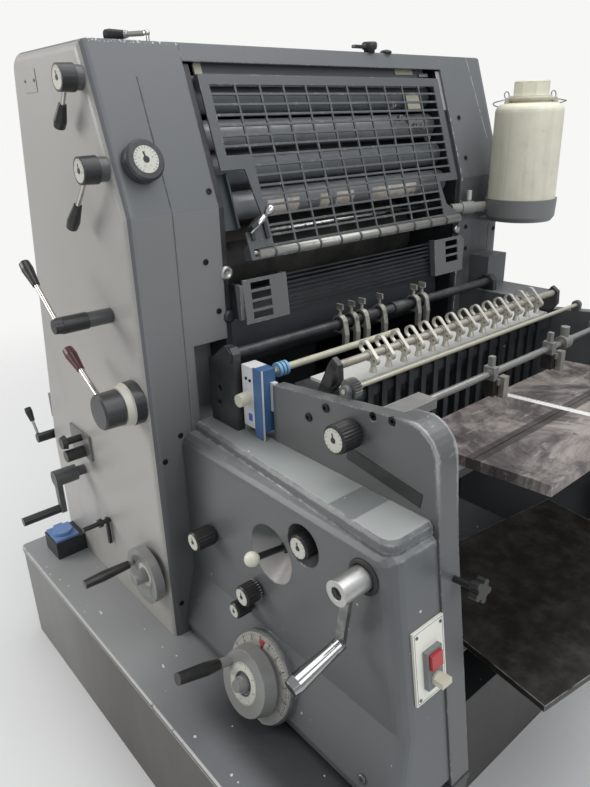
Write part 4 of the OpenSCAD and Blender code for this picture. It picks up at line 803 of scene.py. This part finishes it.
profile = [(0.0232, 0), (0.0310, 0), (0.0316, 0.002), (0.0300, 0.0045), (0.0245, 0.0045),
           (0.0232, 0.003), (0.0232, 0)]
turned("crank_collar", profile, (crank_x, -0.5270, crank_z), operator_out, collar_rubber)
coated("far_housing far_frame", "far_enamel", 0.003, enamel, housing_grey, 0.38, 0.16, 0.25, 0.30, 0.10)
set_out("foot_screws", [((0.567, -0.5585, 0.352), (0.1, -1, 0.2))],
        socket_head(0.0085, 0.004, 0.0045), screw_steel, seed=21)


# Side frames
# Cast plates with a rim turned in along the feeder end. The operator's plate is chipped to bare
# metal around its upper corner, and holds a black plate, left blank.
f = Finish("frame_enamel")
look = enamel(f, (0.118, 0.121, 0.122), 0.34, 0.12, 0.24, 0.20, 0.10)
edge = f.edge(0.012)
corner = f.x.between(0.49, 0.53) * f.z.between(0.80, 0.92)
flakes = (f.noise(36, 6, 0.72) + edge.between(0.0, 0.25) * 0.33).between(0.56, 0.59)
bare = (flakes * corner * edge.between(0.002, 0.01)).held()
tone = f.mixed(bare, look[0], (0.52, 0.53, 0.52))
paint("operator_frame", f, (tone, look[1] + bare * 0.05, bare * 0.3, look[3] - bare * 0.2), 0.003)

frame_face = -0.420
label_black = coat("label_black", "black_paint", 0.0004, mottled, (0.012, 0.012, 0.013),
                   (0.03, 0.03, 0.031), 0.32, 50)
slab("blank_label", (0.168, 0.026), 0.0012, (0.471, frame_face, 0.8585), operator_out,
     label_black, 0.0003, up=(0.025, 0, 0.168))
set_out("frame_bolts", [((x, -0.4145, z), operator_out) for x, z in ((0.446, 0.9582), (0.487, 0.9629))],
        socket_head(0.0072, 0.005, 0.0038), black_screw, seed=5)
set_out("frame_screws", [((x, frame_face, z), operator_out) for x, z in ((0.334, 0.938), (0.288, 0.905))],
        socket_head(0.0085, 0.003, 0.0045), black_screw, seed=6)


# Clamp shaft
# A black shaft runs across the feeder in two cast brackets. It carries bright clamps, each of
# them pinched to it with a wing screw.
f = Finish("clamp_iron")
dark = oily_cast(f, (0.030, 0.030, 0.032), 0.38, 0.3)
bright = worked_steel(f, (0.56, 0.54, 0.48), 0.32, 1, (0.09, 0.08, 0.07), 1.5, 0.6)
on_shaft = (f.y < 0.16) * (f.y > -0.16) * (f.off_shaft(0.078, 0.978) > 0.0156)
paint("clamp_shaft", f, two_looks(f, on_shaft, dark, bright), 0.0008)


# Suction bar
# A worn cast tube with fourteen nickel-plated suckers, in two black brackets. A pale steel strip
# under it is polished by the sheets.
coated("sheet_strip", "strip_steel", 0.0006, worked_steel, (0.82, 0.82, 0.78), 0.42, 0.06,
       (0.50, 0.49, 0.45), 0.6, 0.15)
coated("suction_brackets", "bracket_black", 0.001, oily_cast, (0.026, 0.025, 0.025), 0.36, 0.35)
f = Finish("sucker_nickel")
links = worked_steel(f, (0.74, 0.71, 0.62), 0.34, 1, (0.30, 0.26, 0.20), 0.45, 0.55)
tube = worked_steel(f, (0.50, 0.47, 0.40), 0.40, 1, (0.16, 0.14, 0.11), 0.8, 0.6)
tube = two_looks(f, f.y * f.y > 0.375 ** 2, tube, dark_steel(f, (0.03, 0.03, 0.03), 0.4))
paint("suction_bar", f, two_looks(f, f.off_shaft(0.309, 0.997) < 0.0095, links, tube), 0.0006)


# Rods over the pile
# A cream rod with a ratchet wheel, and a steel rod in two blocks from which the sheet guides
# hang. The guides are grey castings with round feet.
f = Finish("ratchet_finish")
rod = worked_steel(f, (0.58, 0.55, 0.43), 0.38, 0.1, (0.40, 0.36, 0.27), 0.5, 0.4)
wheel = oily_cast(f, (0.095, 0.095, 0.092), 0.30, 0.4)
paint("ratchet_rod", f, two_looks(f, f.off_shaft(0.360, 0.971) > 0.0052, rod, wheel), 0.0005)
leg_front = 0.4744
f = Finish("lay_finish")
rod = worked_steel(f, (0.46, 0.46, 0.44), 0.30, 0.1, (0.20, 0.18, 0.16), 0.5)
block = enamel(f, (0.19, 0.185, 0.175), 0.45, 0.12, 0.3, 0.3, 0.25)
leg = dark_steel(f, (0.045, 0.043, 0.040), 0.34)
pin = worked_steel(f, (0.42, 0.40, 0.36), 0.34, 1, (0.16, 0.14, 0.11), 0.8, 0.6)
hung = (f.y > -0.30) * (f.y < 0.30)
block = two_looks(f, hung * (f.z < 0.944) * (f.x < leg_front), block, leg)
block = two_looks(f, hung * (f.z < 0.952) * (f.x > leg_front), block, pin)
paint("lay_rod", f, two_looks(f, f.off_shaft(0.462, 0.956) > 0.0078, rod, block), 0.001)


# Feed board and delivery board
# The feed board is thick steel plate, browned and scratched by years of paper, with a white rule
# let in along its middle. The delivery board is a loose black plate on its carrier.
board_cos, board_sin = wave(4)
board_along = Vector((board_cos, 0, board_sin))
board_up = Vector((-board_sin, 0, board_cos))
board_ref = Vector((0.562, 0, 0.875))
f = Finish("board_steel")
stain = f.noise(7, 7, 0.74, bend=0.8)
scuff = f.noise(60, 5, 0.7, stretch=(1, 0.22, 1))
across = f.along((0.556, 0, 0.875), board_along)
tone = f.layered(f.mixed(stain.between(0.38, 0.62), (0.085, 0.070, 0.072), (0.400, 0.355, 0.325)),
                 (f.patches(2.6, 0.45, 0.70, 4, 0.6) * 0.45, (0.165, 0.130, 0.135)),
                 (f.noise(17, 6, 0.75, bend=0.5).between(0.60, 0.66) * 0.6, (0.030, 0.027, 0.028)),
                 (scuff.between(0.56, 0.72) * 0.6, (0.56, 0.53, 0.50)),
                 # Painted shadow: a dark band about 3 cm wide across the board near x 0.556.
                 ((across * across < 0.015 ** 2) * 0.75, (0.040, 0.034, 0.034)))
below = oily_cast(f, (0.028, 0.028, 0.029), 0.45)
paint("feed_board", f, two_looks(f, f.z < 0.842, (tone, 0.30 + stain * 0.30, 0.25, scuff * 0.05), below))
f = Finish("lower_board")
look = oily_cast(f, (0.016, 0.014, 0.012), 0.42, 0.10)
pale_marks = f.edge(0.004).between(0.03, 0.15) * f.patches(20, 0.35, 0.55, 4)
paint("delivery_board", f, (f.mixed(pale_marks, look[0], (0.40, 0.39, 0.37)), *look[1:]), 0.0015)

rule_white = coat("rule_white", "steel", 0.0003, mottled, (0.84, 0.83, 0.80), (0.62, 0.60, 0.56),
                  0.42, 40, 5, 0.7, (0.4, 0.8))
mark_black = coat("mark_black", "black_plastic", 0, mottled, (0.012, 0.012, 0.012),
                  (0.03, 0.03, 0.03), 0.5, 90, 2)
rule_edge = 0.0190
slab("rule", (0.286, 0.018), 0.0005, board_ref - board_along * 0.010 + Vector((0, 0.010, 0)),
     board_up, rule_white, 0.0001, "feed_board", (0, 1, 0))
for label, step, count, length in (("rule_marks", 0.002, 140, 0.0030),
                                   ("rule_long_marks", 0.010, 28, 0.0055)):
    first = board_ref - board_along * 0.150 + board_up * 0.0006 + Vector((0, rule_edge - length / 2, 0))
    set_out(label, [(first + board_along * step * i, board_up, (0, 1, 0)) for i in range(count)],
            tick(0.0005, length), mark_black, "feed_board", spin=False)


# Dials
# White enamelled faces let into the knobs and wheels, with printed marks and plain numbers. The
# knobs are fluted black plastic, the large one on the slope grey with a rubbed rim.
def moulded(f, colour, rough=0.38, wear=0.25):
    grain = f.noise(300, 3)
    rub = f.patches(24, 0.45, 0.85) * wear
    tone = f.mixed(rub, colour, [min(1, c * 2.2 + 0.03) for c in colour])
    return tone, rough + (grain - 0.5) * 0.12 + rub * 0.2, 0.0, grain * 0.02


coated("housing_knob recess_knob upper_knob lower_knob frame_knob star_knob", "knob_black", 0.0008,
       moulded, (0.022, 0.021, 0.020), 0.36, 0.5)
coated("dial_knob", "slope_dial_rim", 0.0015, moulded, (0.045, 0.047, 0.050), 0.34, 0.4)
dial_white = coat("dial_white", "panel_plate", 0.0003, mottled, (0.62, 0.61, 0.54),
                  (0.40, 0.38, 0.32), 0.40, 90, 5, 0.7, (0.5, 0.85))


def angles(count, first, last):
    """Equal steps from the first angle to the last, or all the way round."""
    steps = count if last - first == 360 else max(1, count - 1)
    return [first + (last - first) * i / steps for i in range(count)]


def ring_marks(name, centre, out, up, radius, count, width, length, body, first=0, last=360, thick=0.0003):
    """Marks round a dial, each pointing to its middle."""
    axes = seat(centre, out, up).to_3x3()
    ways = [axes @ Vector((-sin, cos, 0)) for cos, sin in map(wave, angles(count, first, last))]
    set_out(name, [(centre + way * radius, out, way) for way in ways],
            tick(width, length, thick), mark_black, body, spin=False)


def numbers(name, words, centre, out, up, radius, size, body, first=0, last=360):
    """Plain numbers round a dial, each upright to its middle."""
    shape = bmesh.new()
    for word, angle in zip(words, angles(len(words), first, last)):
        text = bpy.data.curves.new(name, "FONT")
        for key, value in zip(("body", "size", "align_x", "align_y", "resolution_u"),
                              (word, size, "CENTER", "CENTER", 2)):
            setattr(text, key, value)
        item = bpy.data.objects.new(name, text)
        scene.collection.objects.link(item)
        bpy.context.view_layer.update()
        mesh = bpy.data.meshes.new_from_object(item.evaluated_get(bpy.context.evaluated_depsgraph_get()))
        bpy.data.objects.remove(item)
        mesh.transform(seat(centre, out, up) @ Matrix.Rotation(math.radians(angle), 4, "Z")
                       @ Matrix.Translation((0, radius, 0)))
        shape.from_mesh(mesh)
        bpy.data.meshes.remove(mesh)
    new_piece(name, to_mesh(shape), mark_black, body, False)


def dial(name, centre, out, outer, body, marks, words="", sweep=(0, 360),
         word_size=0.3, inner=0.0, up=(0, 0, 1)):
    """A dial face with its marks and numbers, lying on a knob. One that isn't a ring has a pointer."""
    lift = 0.0001
    thick = 0.0005
    edge = 0.0003
    out = Vector(out).normalized()
    face = Vector(centre) + out * lift
    profile = [(inner, 0), (outer - edge, 0), (outer, 0.0002), (outer, thick - 0.0001),
               (outer - edge, thick), (inner, thick), (inner, 0)]
    turned(name, profile, face, out, dial_white, 48, body, False)
    top = face + out * thick
    wide = outer - inner
    ring_marks(name + "_marks", top, out, up, outer - wide * 0.12, marks, outer * 0.030,
               wide * 0.18, body, *sweep)
    if words:
        numbers(name + "_numbers", words, top + out * lift, out, up, outer - wide * 0.45,
                wide * word_size, body, *sweep)
    if not inner:
        ring_marks(name + "_pointer", top, out, up, outer * 0.34, 1, outer * 0.14,
                   outer * 0.50, body, 12, 12, 0.0006)
        profile = [(0, 0), (outer * 0.26, 0), (outer * 0.24, 0.0008), (0, 0.001)]
        turned(name + "_hub", profile, top, out, mark_black, 24, body, False)


def knob_face(node):
    """The middle of a knob's outer face, on the operator's side."""
    low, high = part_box(node)
    return Vector(((low[0] + high[0]) / 2, low[1], (low[2] + high[2]) / 2))


dial("slope_dial", front_spot(-0.536, 1.342)[0] + slant_out * 0.0264, slant_out,
     0.0245, "dial_knob", 20, "12345", (150, -150), 0.2)
for label, radius in (("housing", 0.0175), ("recess", 0.0195), ("upper", 0.0175)):
    dial(label + "_dial", knob_face(label + "_knob"), operator_out, radius, label + "_knob", 12)
upper_middle = knob_face("upper_knob")
upper_middle.y = -0.5345
ways = [Vector((cos, 0, sin)) for cos, sin in map(wave, range(-60, 166, 15))]
set_out("upper_knob_marks", [(upper_middle + way * 0.0222, way, (0, 1, 0)) for way in ways],
        tick(0.0010, 0.0050), dial_white, "upper_knob", spin=False)
dial("lower_dial", knob_face("lower_knob"), operator_out, 0.0137, "lower_knob", 12)
dial("frame_dial", knob_face("frame_knob"), operator_out, 0.0215, "frame_knob", 16)


# Levers on the operator side
# Chromed rods in round black hubs, with tapered grips. Two hubs have a white dial, and the grip of
# the longest lever is dark red.
lever_black = (0.020, 0.020, 0.021)


def paint_lever(node, centre, hub, grip_from, bushing=None, grip=lever_black,
                hub_colour=lever_black, axis=(0, 1, 0)):
    """Black up to the hub's radius, chromed up to the grip, and enamelled behind the bushing's face."""
    f = Finish(node + "_finish")
    far = f.apart(centre, axis)
    look = moulded(f, hub_colour, 0.34, 0.35)
    if bushing is not None:
        look = two_looks(f, f.y > bushing, look, enamel(f, (0.075, 0.078, 0.082), 0.30, 0.04, 0.2))
    look = two_looks(f, far > hub, look, chrome(f, (0.60, 0.58, 0.54), 0.18, 0.45))
    look = two_looks(f, far > grip_from, look, moulded(f, grip, 0.30, 0.30))
    paint(node, f, look, 0.001)


damping_x, damping_z = -0.106, 1.487
water_x, water_z = -0.054, 1.336
paint_lever("damping_lever", (damping_x, 0, damping_z), 0.0245, 0.0528, -0.6082)
paint_lever("water_lever", (water_x, 0, water_z), 0.0255, 0.0898, -0.6122)
paint_lever("ink_lever", (-0.113, 0, 1.054), 0.0175, 0.1078, -0.6462, hub_colour=(0.022, 0.022, 0.023))
paint_lever("pressure_lever", (-0.048, 0, 0.884), 0.0385, 0.1198, None,
            (0.085, 0.020, 0.022), (0.050, 0.050, 0.051))
dial("damping_dial", (damping_x, -0.636, damping_z), operator_out, 0.0195, "damping_lever", 16,
     "0246", (100, -100), 0.26)
dial("water_dial", (water_x, -0.643, water_z), operator_out, 0.0205, "water_lever", 18,
     "02468", (100, -100), 0.26)
f = Finish("drum_finish")
grey = enamel(f, (0.030, 0.031, 0.032), 0.30, 0.04, 0.2)
cream = moulded(f, (0.60, 0.58, 0.51), 0.42, 0.2)
paint("pressure_drum", f, two_looks(f, f.y < -0.6172, grey, cream))


# Hand wheel and large wheel
# Turned castings in grey enamel with a dished face, a white graduated ring and a black grip. The
# large wheel stands over a wide white ring on the housing's sloping foot.
def paint_wheel(node, f, on_grip):
    cast = enamel(f, (0.235, 0.232, 0.222), 0.30, 0.03, 0.2, 0.1, 0.15)
    grip = moulded(f, (0.022, 0.021, 0.020), 0.32, 0.35)
    paint(node, f, two_looks(f, on_grip, cast, grip), 0.0015)


f = Finish("hand_wheel_finish")
paint_wheel("hand_wheel", f, (f.y < -0.6375) * (f.off_shaft(-0.107, 0.468) < 0.0126))
flare_turn = math.atan(37 / 138)
flare_out = Vector((0, -math.cos(flare_turn), math.sin(flare_turn)))
flare_up = Vector((0, math.sin(flare_turn), math.cos(flare_turn)))
flare_place = Vector((0.288, -0.551, 0.372))
f = Finish("feed_wheel_finish")
paint_wheel("feed_wheel", f, f.along(flare_place, flare_out) > 0.083)
f = Finish("ring_white")
worn = f.patches(45, 0.45, 0.85)
paint("scale_ring", f, rubber(f, worn, (0.46, 0.44, 0.40), (0.27, 0.25, 0.22), 0.42, 0, 0.02), 0.0006)

dial("hand_dial", (-0.065, -0.6196, 0.454), operator_out, 0.0300, "hand_wheel", 36, "012345",
     word_size=0.42, inner=0.0185)
dial("wheel_dial", flare_place + flare_out * 0.057, flare_out, 0.0415, "feed_wheel", 48,
     "01234567", word_size=0.40, inner=0.0250, up=flare_up)
ring_face = flare_place + flare_out * 0.0191
ring_sweep = (110, -110)
ring_marks("ring_marks", ring_face, flare_out, flare_up, 0.0855, 48, 0.0010, 0.005, "press", *ring_sweep)
ring_marks("ring_long_marks", ring_face, flare_out, flare_up, 0.0838, 12, 0.0014,
           0.0085, "press", *ring_sweep)
numbers("ring_numbers", [str(n) for n in range(34, 58, 2)], ring_face + flare_out * 0.0001,
        flare_out, flare_up, 0.0755, 0.0078, "press", *ring_sweep)
pointer_red = coat("pointer_red", "red_plastic", 0.0004, moulded, (0.42, 0.05, 0.05), 0.38, 0.3)
pointer_up = Matrix.Rotation(math.radians(5), 4, flare_out) @ flare_up
slab("ring_pointer", [(-0.008, 0.010), (0.008, 0.010), (0, -0.009)], 0.002,
     flare_place + flare_out * 0.0192 + pointer_up * 0.072, flare_out, pointer_red, 0.0005, up=pointer_up)


# Winding crank and ball lever
# The crank is chromed all over, with a drooping barrel grip. The ball lever stands in a turned
# recess and carries a cream ball on a black rod.
f = Finish("crank_chrome")
grip_chrome = chrome(f, (0.40, 0.40, 0.39), 0.12, 0.25)
arm_steel = dark_steel(f, (0.16, 0.16, 0.155), 0.30)
hub_metal = worked_steel(f, (0.62, 0.62, 0.60), 0.34, 1, (0.34, 0.33, 0.31), 0.4)
hub_off = f.off_shaft(crank_x, crank_z)
look = two_looks(f, hub_off > 0.0223, hub_metal, arm_steel)
paint("winding_crank", f, two_looks(f, (hub_off > 0.060) * (f.y < -0.5650), look, grip_chrome))
profile = [(0, 0), (0.0095, 0), (0.0095, 0.003), (0.008, 0.004), (0.0045, 0.004),
           (0.0035, 0.0015), (0, 0.0015)]
turned("crank_hub_screw", profile, (crank_x, -0.5740, crank_z), operator_out,
       screw_steel, 24, "winding_crank")
f = Finish("ball_finish")
ball_cos, ball_sin = wave(82)
ball_at = Vector((recess_x, -0.491, recess_z)) + 0.081 * Vector((0, -ball_sin, ball_cos))
ball = moulded(f, (0.70, 0.69, 0.56), 0.30, 0.10)
rod = moulded(f, (0.022, 0.022, 0.023), 0.32, 0.3)
paint("ball_lever", f, two_looks(f, f.apart(ball_at) < 0.0151, rod, ball), 0.0006)


# Clamp-on unit
# A slim box of white plastic with a blue side, clamped to the frame, and a cream tube with three
# blue rings that reaches in over the sheet strip.
f = Finish("unit_plastic")
white = moulded(f, (0.66, 0.67, 0.66), 0.45, 0.15)
blue = moulded(f, (0.055, 0.13, 0.27), 0.40, 0.15)
cream = moulded(f, (0.58, 0.56, 0.44), 0.42, 0.2)
look = two_looks(f, (f.x > 0.1458) * (f.x < 0.1735), white, blue)
paint("clamp_unit", f, two_looks(f, f.y < -0.4395, look, cream), 0.0015)
f = Finish("unit_tube")
cream = moulded(f, (0.52, 0.50, 0.38), 0.38, 0.3)
blue = moulded(f, (0.20, 0.40, 0.62), 0.40, 0.2)
paint("unit_roller", f, two_looks(f, (f.y < -0.3575) * (f.y > -0.3825), cream, blue), 0.0008)
unit_face = -0.437
set_out("unit_screws", [((x, unit_face, z), operator_out) for x, z in ((0.122, 0.940), (0.134, 0.938))],
        socket_head(0.0032, 0.002, 0.0016), black_screw, seed=9)
slab("unit_label", (0.012, 0.016), 0.0004, (0.130, unit_face, 0.858), operator_out,
     coat("unit_mark", "blue_plastic", 0, moulded, (0.08, 0.12, 0.45), 0.4, 0.1), 0.0001)


# Small fittings of the operator side
# A flat plate with two valve knobs, a drain cock, a crank with a black grip, a lever in its rear
# bracket, and a bent lever on the top. A socket with a round blue lid stands on the step.
f = Finish("fitting_finish")
black = moulded(f, (0.024, 0.024, 0.025), 0.36, 0.35)
plate = enamel(f, (0.17, 0.165, 0.155), 0.38, 0.04, 0.3, 0.1, 0.15)
paint("side_fittings", f, two_looks(f, (f.y > -0.6005) * (f.z > 0.632), black, plate), 0.001)
f = Finish("side_crank_finish")
grey = enamel(f, (0.085, 0.087, 0.090), 0.34, 0.03, 0.25, 0.1, 0.15)
black = moulded(f, (0.022, 0.022, 0.023), 0.32, 0.3)
paint("side_crank", f, two_looks(f, f.y < -0.6745, grey, black), 0.0015)
paint_lever("rear_lever", (-0.623, 0, 0.604), 0.0145, 0.0515)
paint_lever("top_lever", (-0.200, -0.400, 0), 0.001, 0.0478, axis=(0, 0, 1))
f = Finish("socket_finish")
black = moulded(f, (0.022, 0.023, 0.026), 0.40, 0.35)
blue = moulded(f, (0.13, 0.24, 0.46), 0.42, 0.3)
paint("socket_box", f, two_looks(f, f.z > 0.3462, black, blue))
coated("socket_lid", "lid_finish", 0.0015, moulded, (0.16, 0.27, 0.52), 0.42, 0.25)


# Control panel
# An off-white plate, screwed to the housing's sloping end at its corners. It has a thin printed
# frame, a square red push button and a rotary switch.
end_slope = 0.13
end_turn = math.atan(end_slope)
end_out = Vector((math.cos(end_turn), 0, math.sin(end_turn)))
end_up = Vector((-math.sin(end_turn), 0, math.cos(end_turn)))
panel_at = Vector((0.588 + end_slope * (0.790 - 0.590), -0.4585, 0.590))
f = Finish("panel_finish")
plate = moulded(f, (0.90, 0.875, 0.78), 0.42, 0.15)
line = moulded(f, (0.10, 0.10, 0.10), 0.42, 0.2)
box = moulded(f, (0.20, 0.21, 0.21), 0.45, 0.2)
across = f.along(panel_at, (0, 1, 0))
upwards = f.along(panel_at, end_up)
half_wide, half_high, line_wide = 0.0342, 0.0662, 0.0012
inner, outer = [(across * across < (half_wide + past) ** 2) * (upwards * upwards < (half_high + past) ** 2)
                for past in (0, line_wide)]
look = two_looks(f, outer - inner, plate, line)
paint("control_panel", f, two_looks(f, f.along(panel_at, end_out) > 0.0058, look, box), 0.0008)
coated("stop_button", "button_red", 0.0012, moulded, (0.50, 0.05, 0.05), 0.30, 0.1)
coated("rotary_switch", "switch_cream", 0.0012, moulded, (0.62, 0.59, 0.48), 0.40, 0.2)
spots = [panel_at + Vector((0, s * 0.0295, 0)) + end_up * t * 0.060 + end_out * 0.0054
         for s in (-1, 1) for t in (-1, 1)]
set_out("panel_screws", [(spot, end_out) for spot in spots],
        socket_head(0.0030, 0.0016, 0.0013), screw_steel, seed=11)


# Dampening tank
# A blow-moulded bottle, yellowed and grimed with dust, stands in a grey cup on a pipe; its side
# towards -x and +y is painted darker as painted shade. Its ribbed cap has a carrying ring moulded
# round it, with a wire bail hooked in two lugs.
bottle_low, bottle_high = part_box("tank_bottle")
tank_middle = Vector(((bottle_low[0] + bottle_high[0]) / 2, (bottle_low[1] + bottle_high[1]) / 2, 0))
shoulder = 1.430
f = Finish("bottle_plastic")
haze = f.noise(5, 5, 0.6)
grit = f.patches(50, 0.55, 0.85)
# Painted shade: the side of the bottle towards -x and +y is painted darker.
painted_shade_side = f.along((0.106, 0.515, 1.3), (-0.6, 0.8, 0)).between(-0.02, 0.08)
streaks = f.noise(30, 4, 0.6, stretch=(1, 1, 0.08)).between(0.5, 0.8)
tone = f.layered(f.mixed(haze.between(0.3, 0.7), (0.90, 0.86, 0.70), (0.74, 0.70, 0.56)),
                 (painted_shade_side * 0.6, (0.52, 0.49, 0.40)),
                 (grit * 0.35 + streaks * 0.25, (0.32, 0.29, 0.22)))
off_seam = f.x - tank_middle.x
seam = (off_seam * off_seam).between(0.0000006, 0.0000060)
ribbed = (f.z > shoulder + 0.016) * (f.apart(tank_middle, (0, 0, 1)) > 0.030)
ribs = f.noise(160, 2, 0.5, stretch=(1, 1, 0.04))
paint("tank_bottle", f, (tone, 0.42 + grit * 0.2, 0.0, haze * 0.2 + ribbed * ribs * 0.6 + seam * 0.4), 0.002)
carrier = coat("carrier_plastic", "cream_plastic", 0.001, moulded, (0.46, 0.43, 0.33), 0.42, 0.4)
profile = [(0.0500, 0), (0.0575, 0), (0.0590, 0.002), (0.0590, 0.006), (0.0575, 0.008),
           (0.0500, 0.008), (0.0500, 0)]
turned("carrying_ring", profile, tank_middle + Vector((0, 0, shoulder + 0.006)), (0, 0, 1), carrier, 64)
neck = tank_middle + Vector((0, 0, shoulder + 0.014))
wire_cos, wire_sin = wave(49.957)
wire_side = Vector((wire_cos, wire_sin, 0))
wire_back = Vector((-wire_sin, wire_cos, 0))
lug_at = 0.060


def on_wire(aside, back, up):
    return neck + wire_side * aside + wire_back * back + Vector((0, 0, up))


loops = [[on_wire(side * (lug_at + 0.006 * wave(a)[1]), 0.010 * wave(a / 2)[1], 0.006 - 0.009 * wave(a)[0])
          for a in range(0, 361, 30)] for side in (-1, 1)]
sag = [on_wire(0.092 * cos, 0.088 * sin, -0.010 - 0.014 * sin) for cos, sin in map(wave, range(0, 181, 12))]
bar("carrying_wire", loops[0] + sag[::-1] + loops[1][::-1], 0.0014, screw_steel, sides=8)
lug = [(-0.008, -0.006), (0.006, -0.006), (0.009, 0.004), (0.004, 0.012), (-0.003, 0.012), (-0.008, 0.004)]
for side in (-1, 1):
    slab(f"wire_lug_{side + 2}", lug, 0.007, on_wire(side * lug_at, -0.003, -0.012),
         -wire_back, carrier, 0.0015)
f = Finish("cup_enamel")
cup = enamel(f, (0.210, 0.212, 0.210), 0.36, 0.05, 0.3, 0.15, 0.1)
pipe = enamel(f, (0.27, 0.265, 0.24), 0.45, 0.15, 0.5, 0.2, 0.3, 90)
valve = moulded(f, (0.60, 0.59, 0.54), 0.4, 0.2)
off_cup = (f.apart(tank_middle, (0, 0, 1)) > 0.0935) * (f.z > 1.150)
look = two_looks(f, off_cup, cup, pipe)
paint("tank_cup", f, two_looks(f, off_cup * (f.z > 1.197), look, valve), 0.0015)
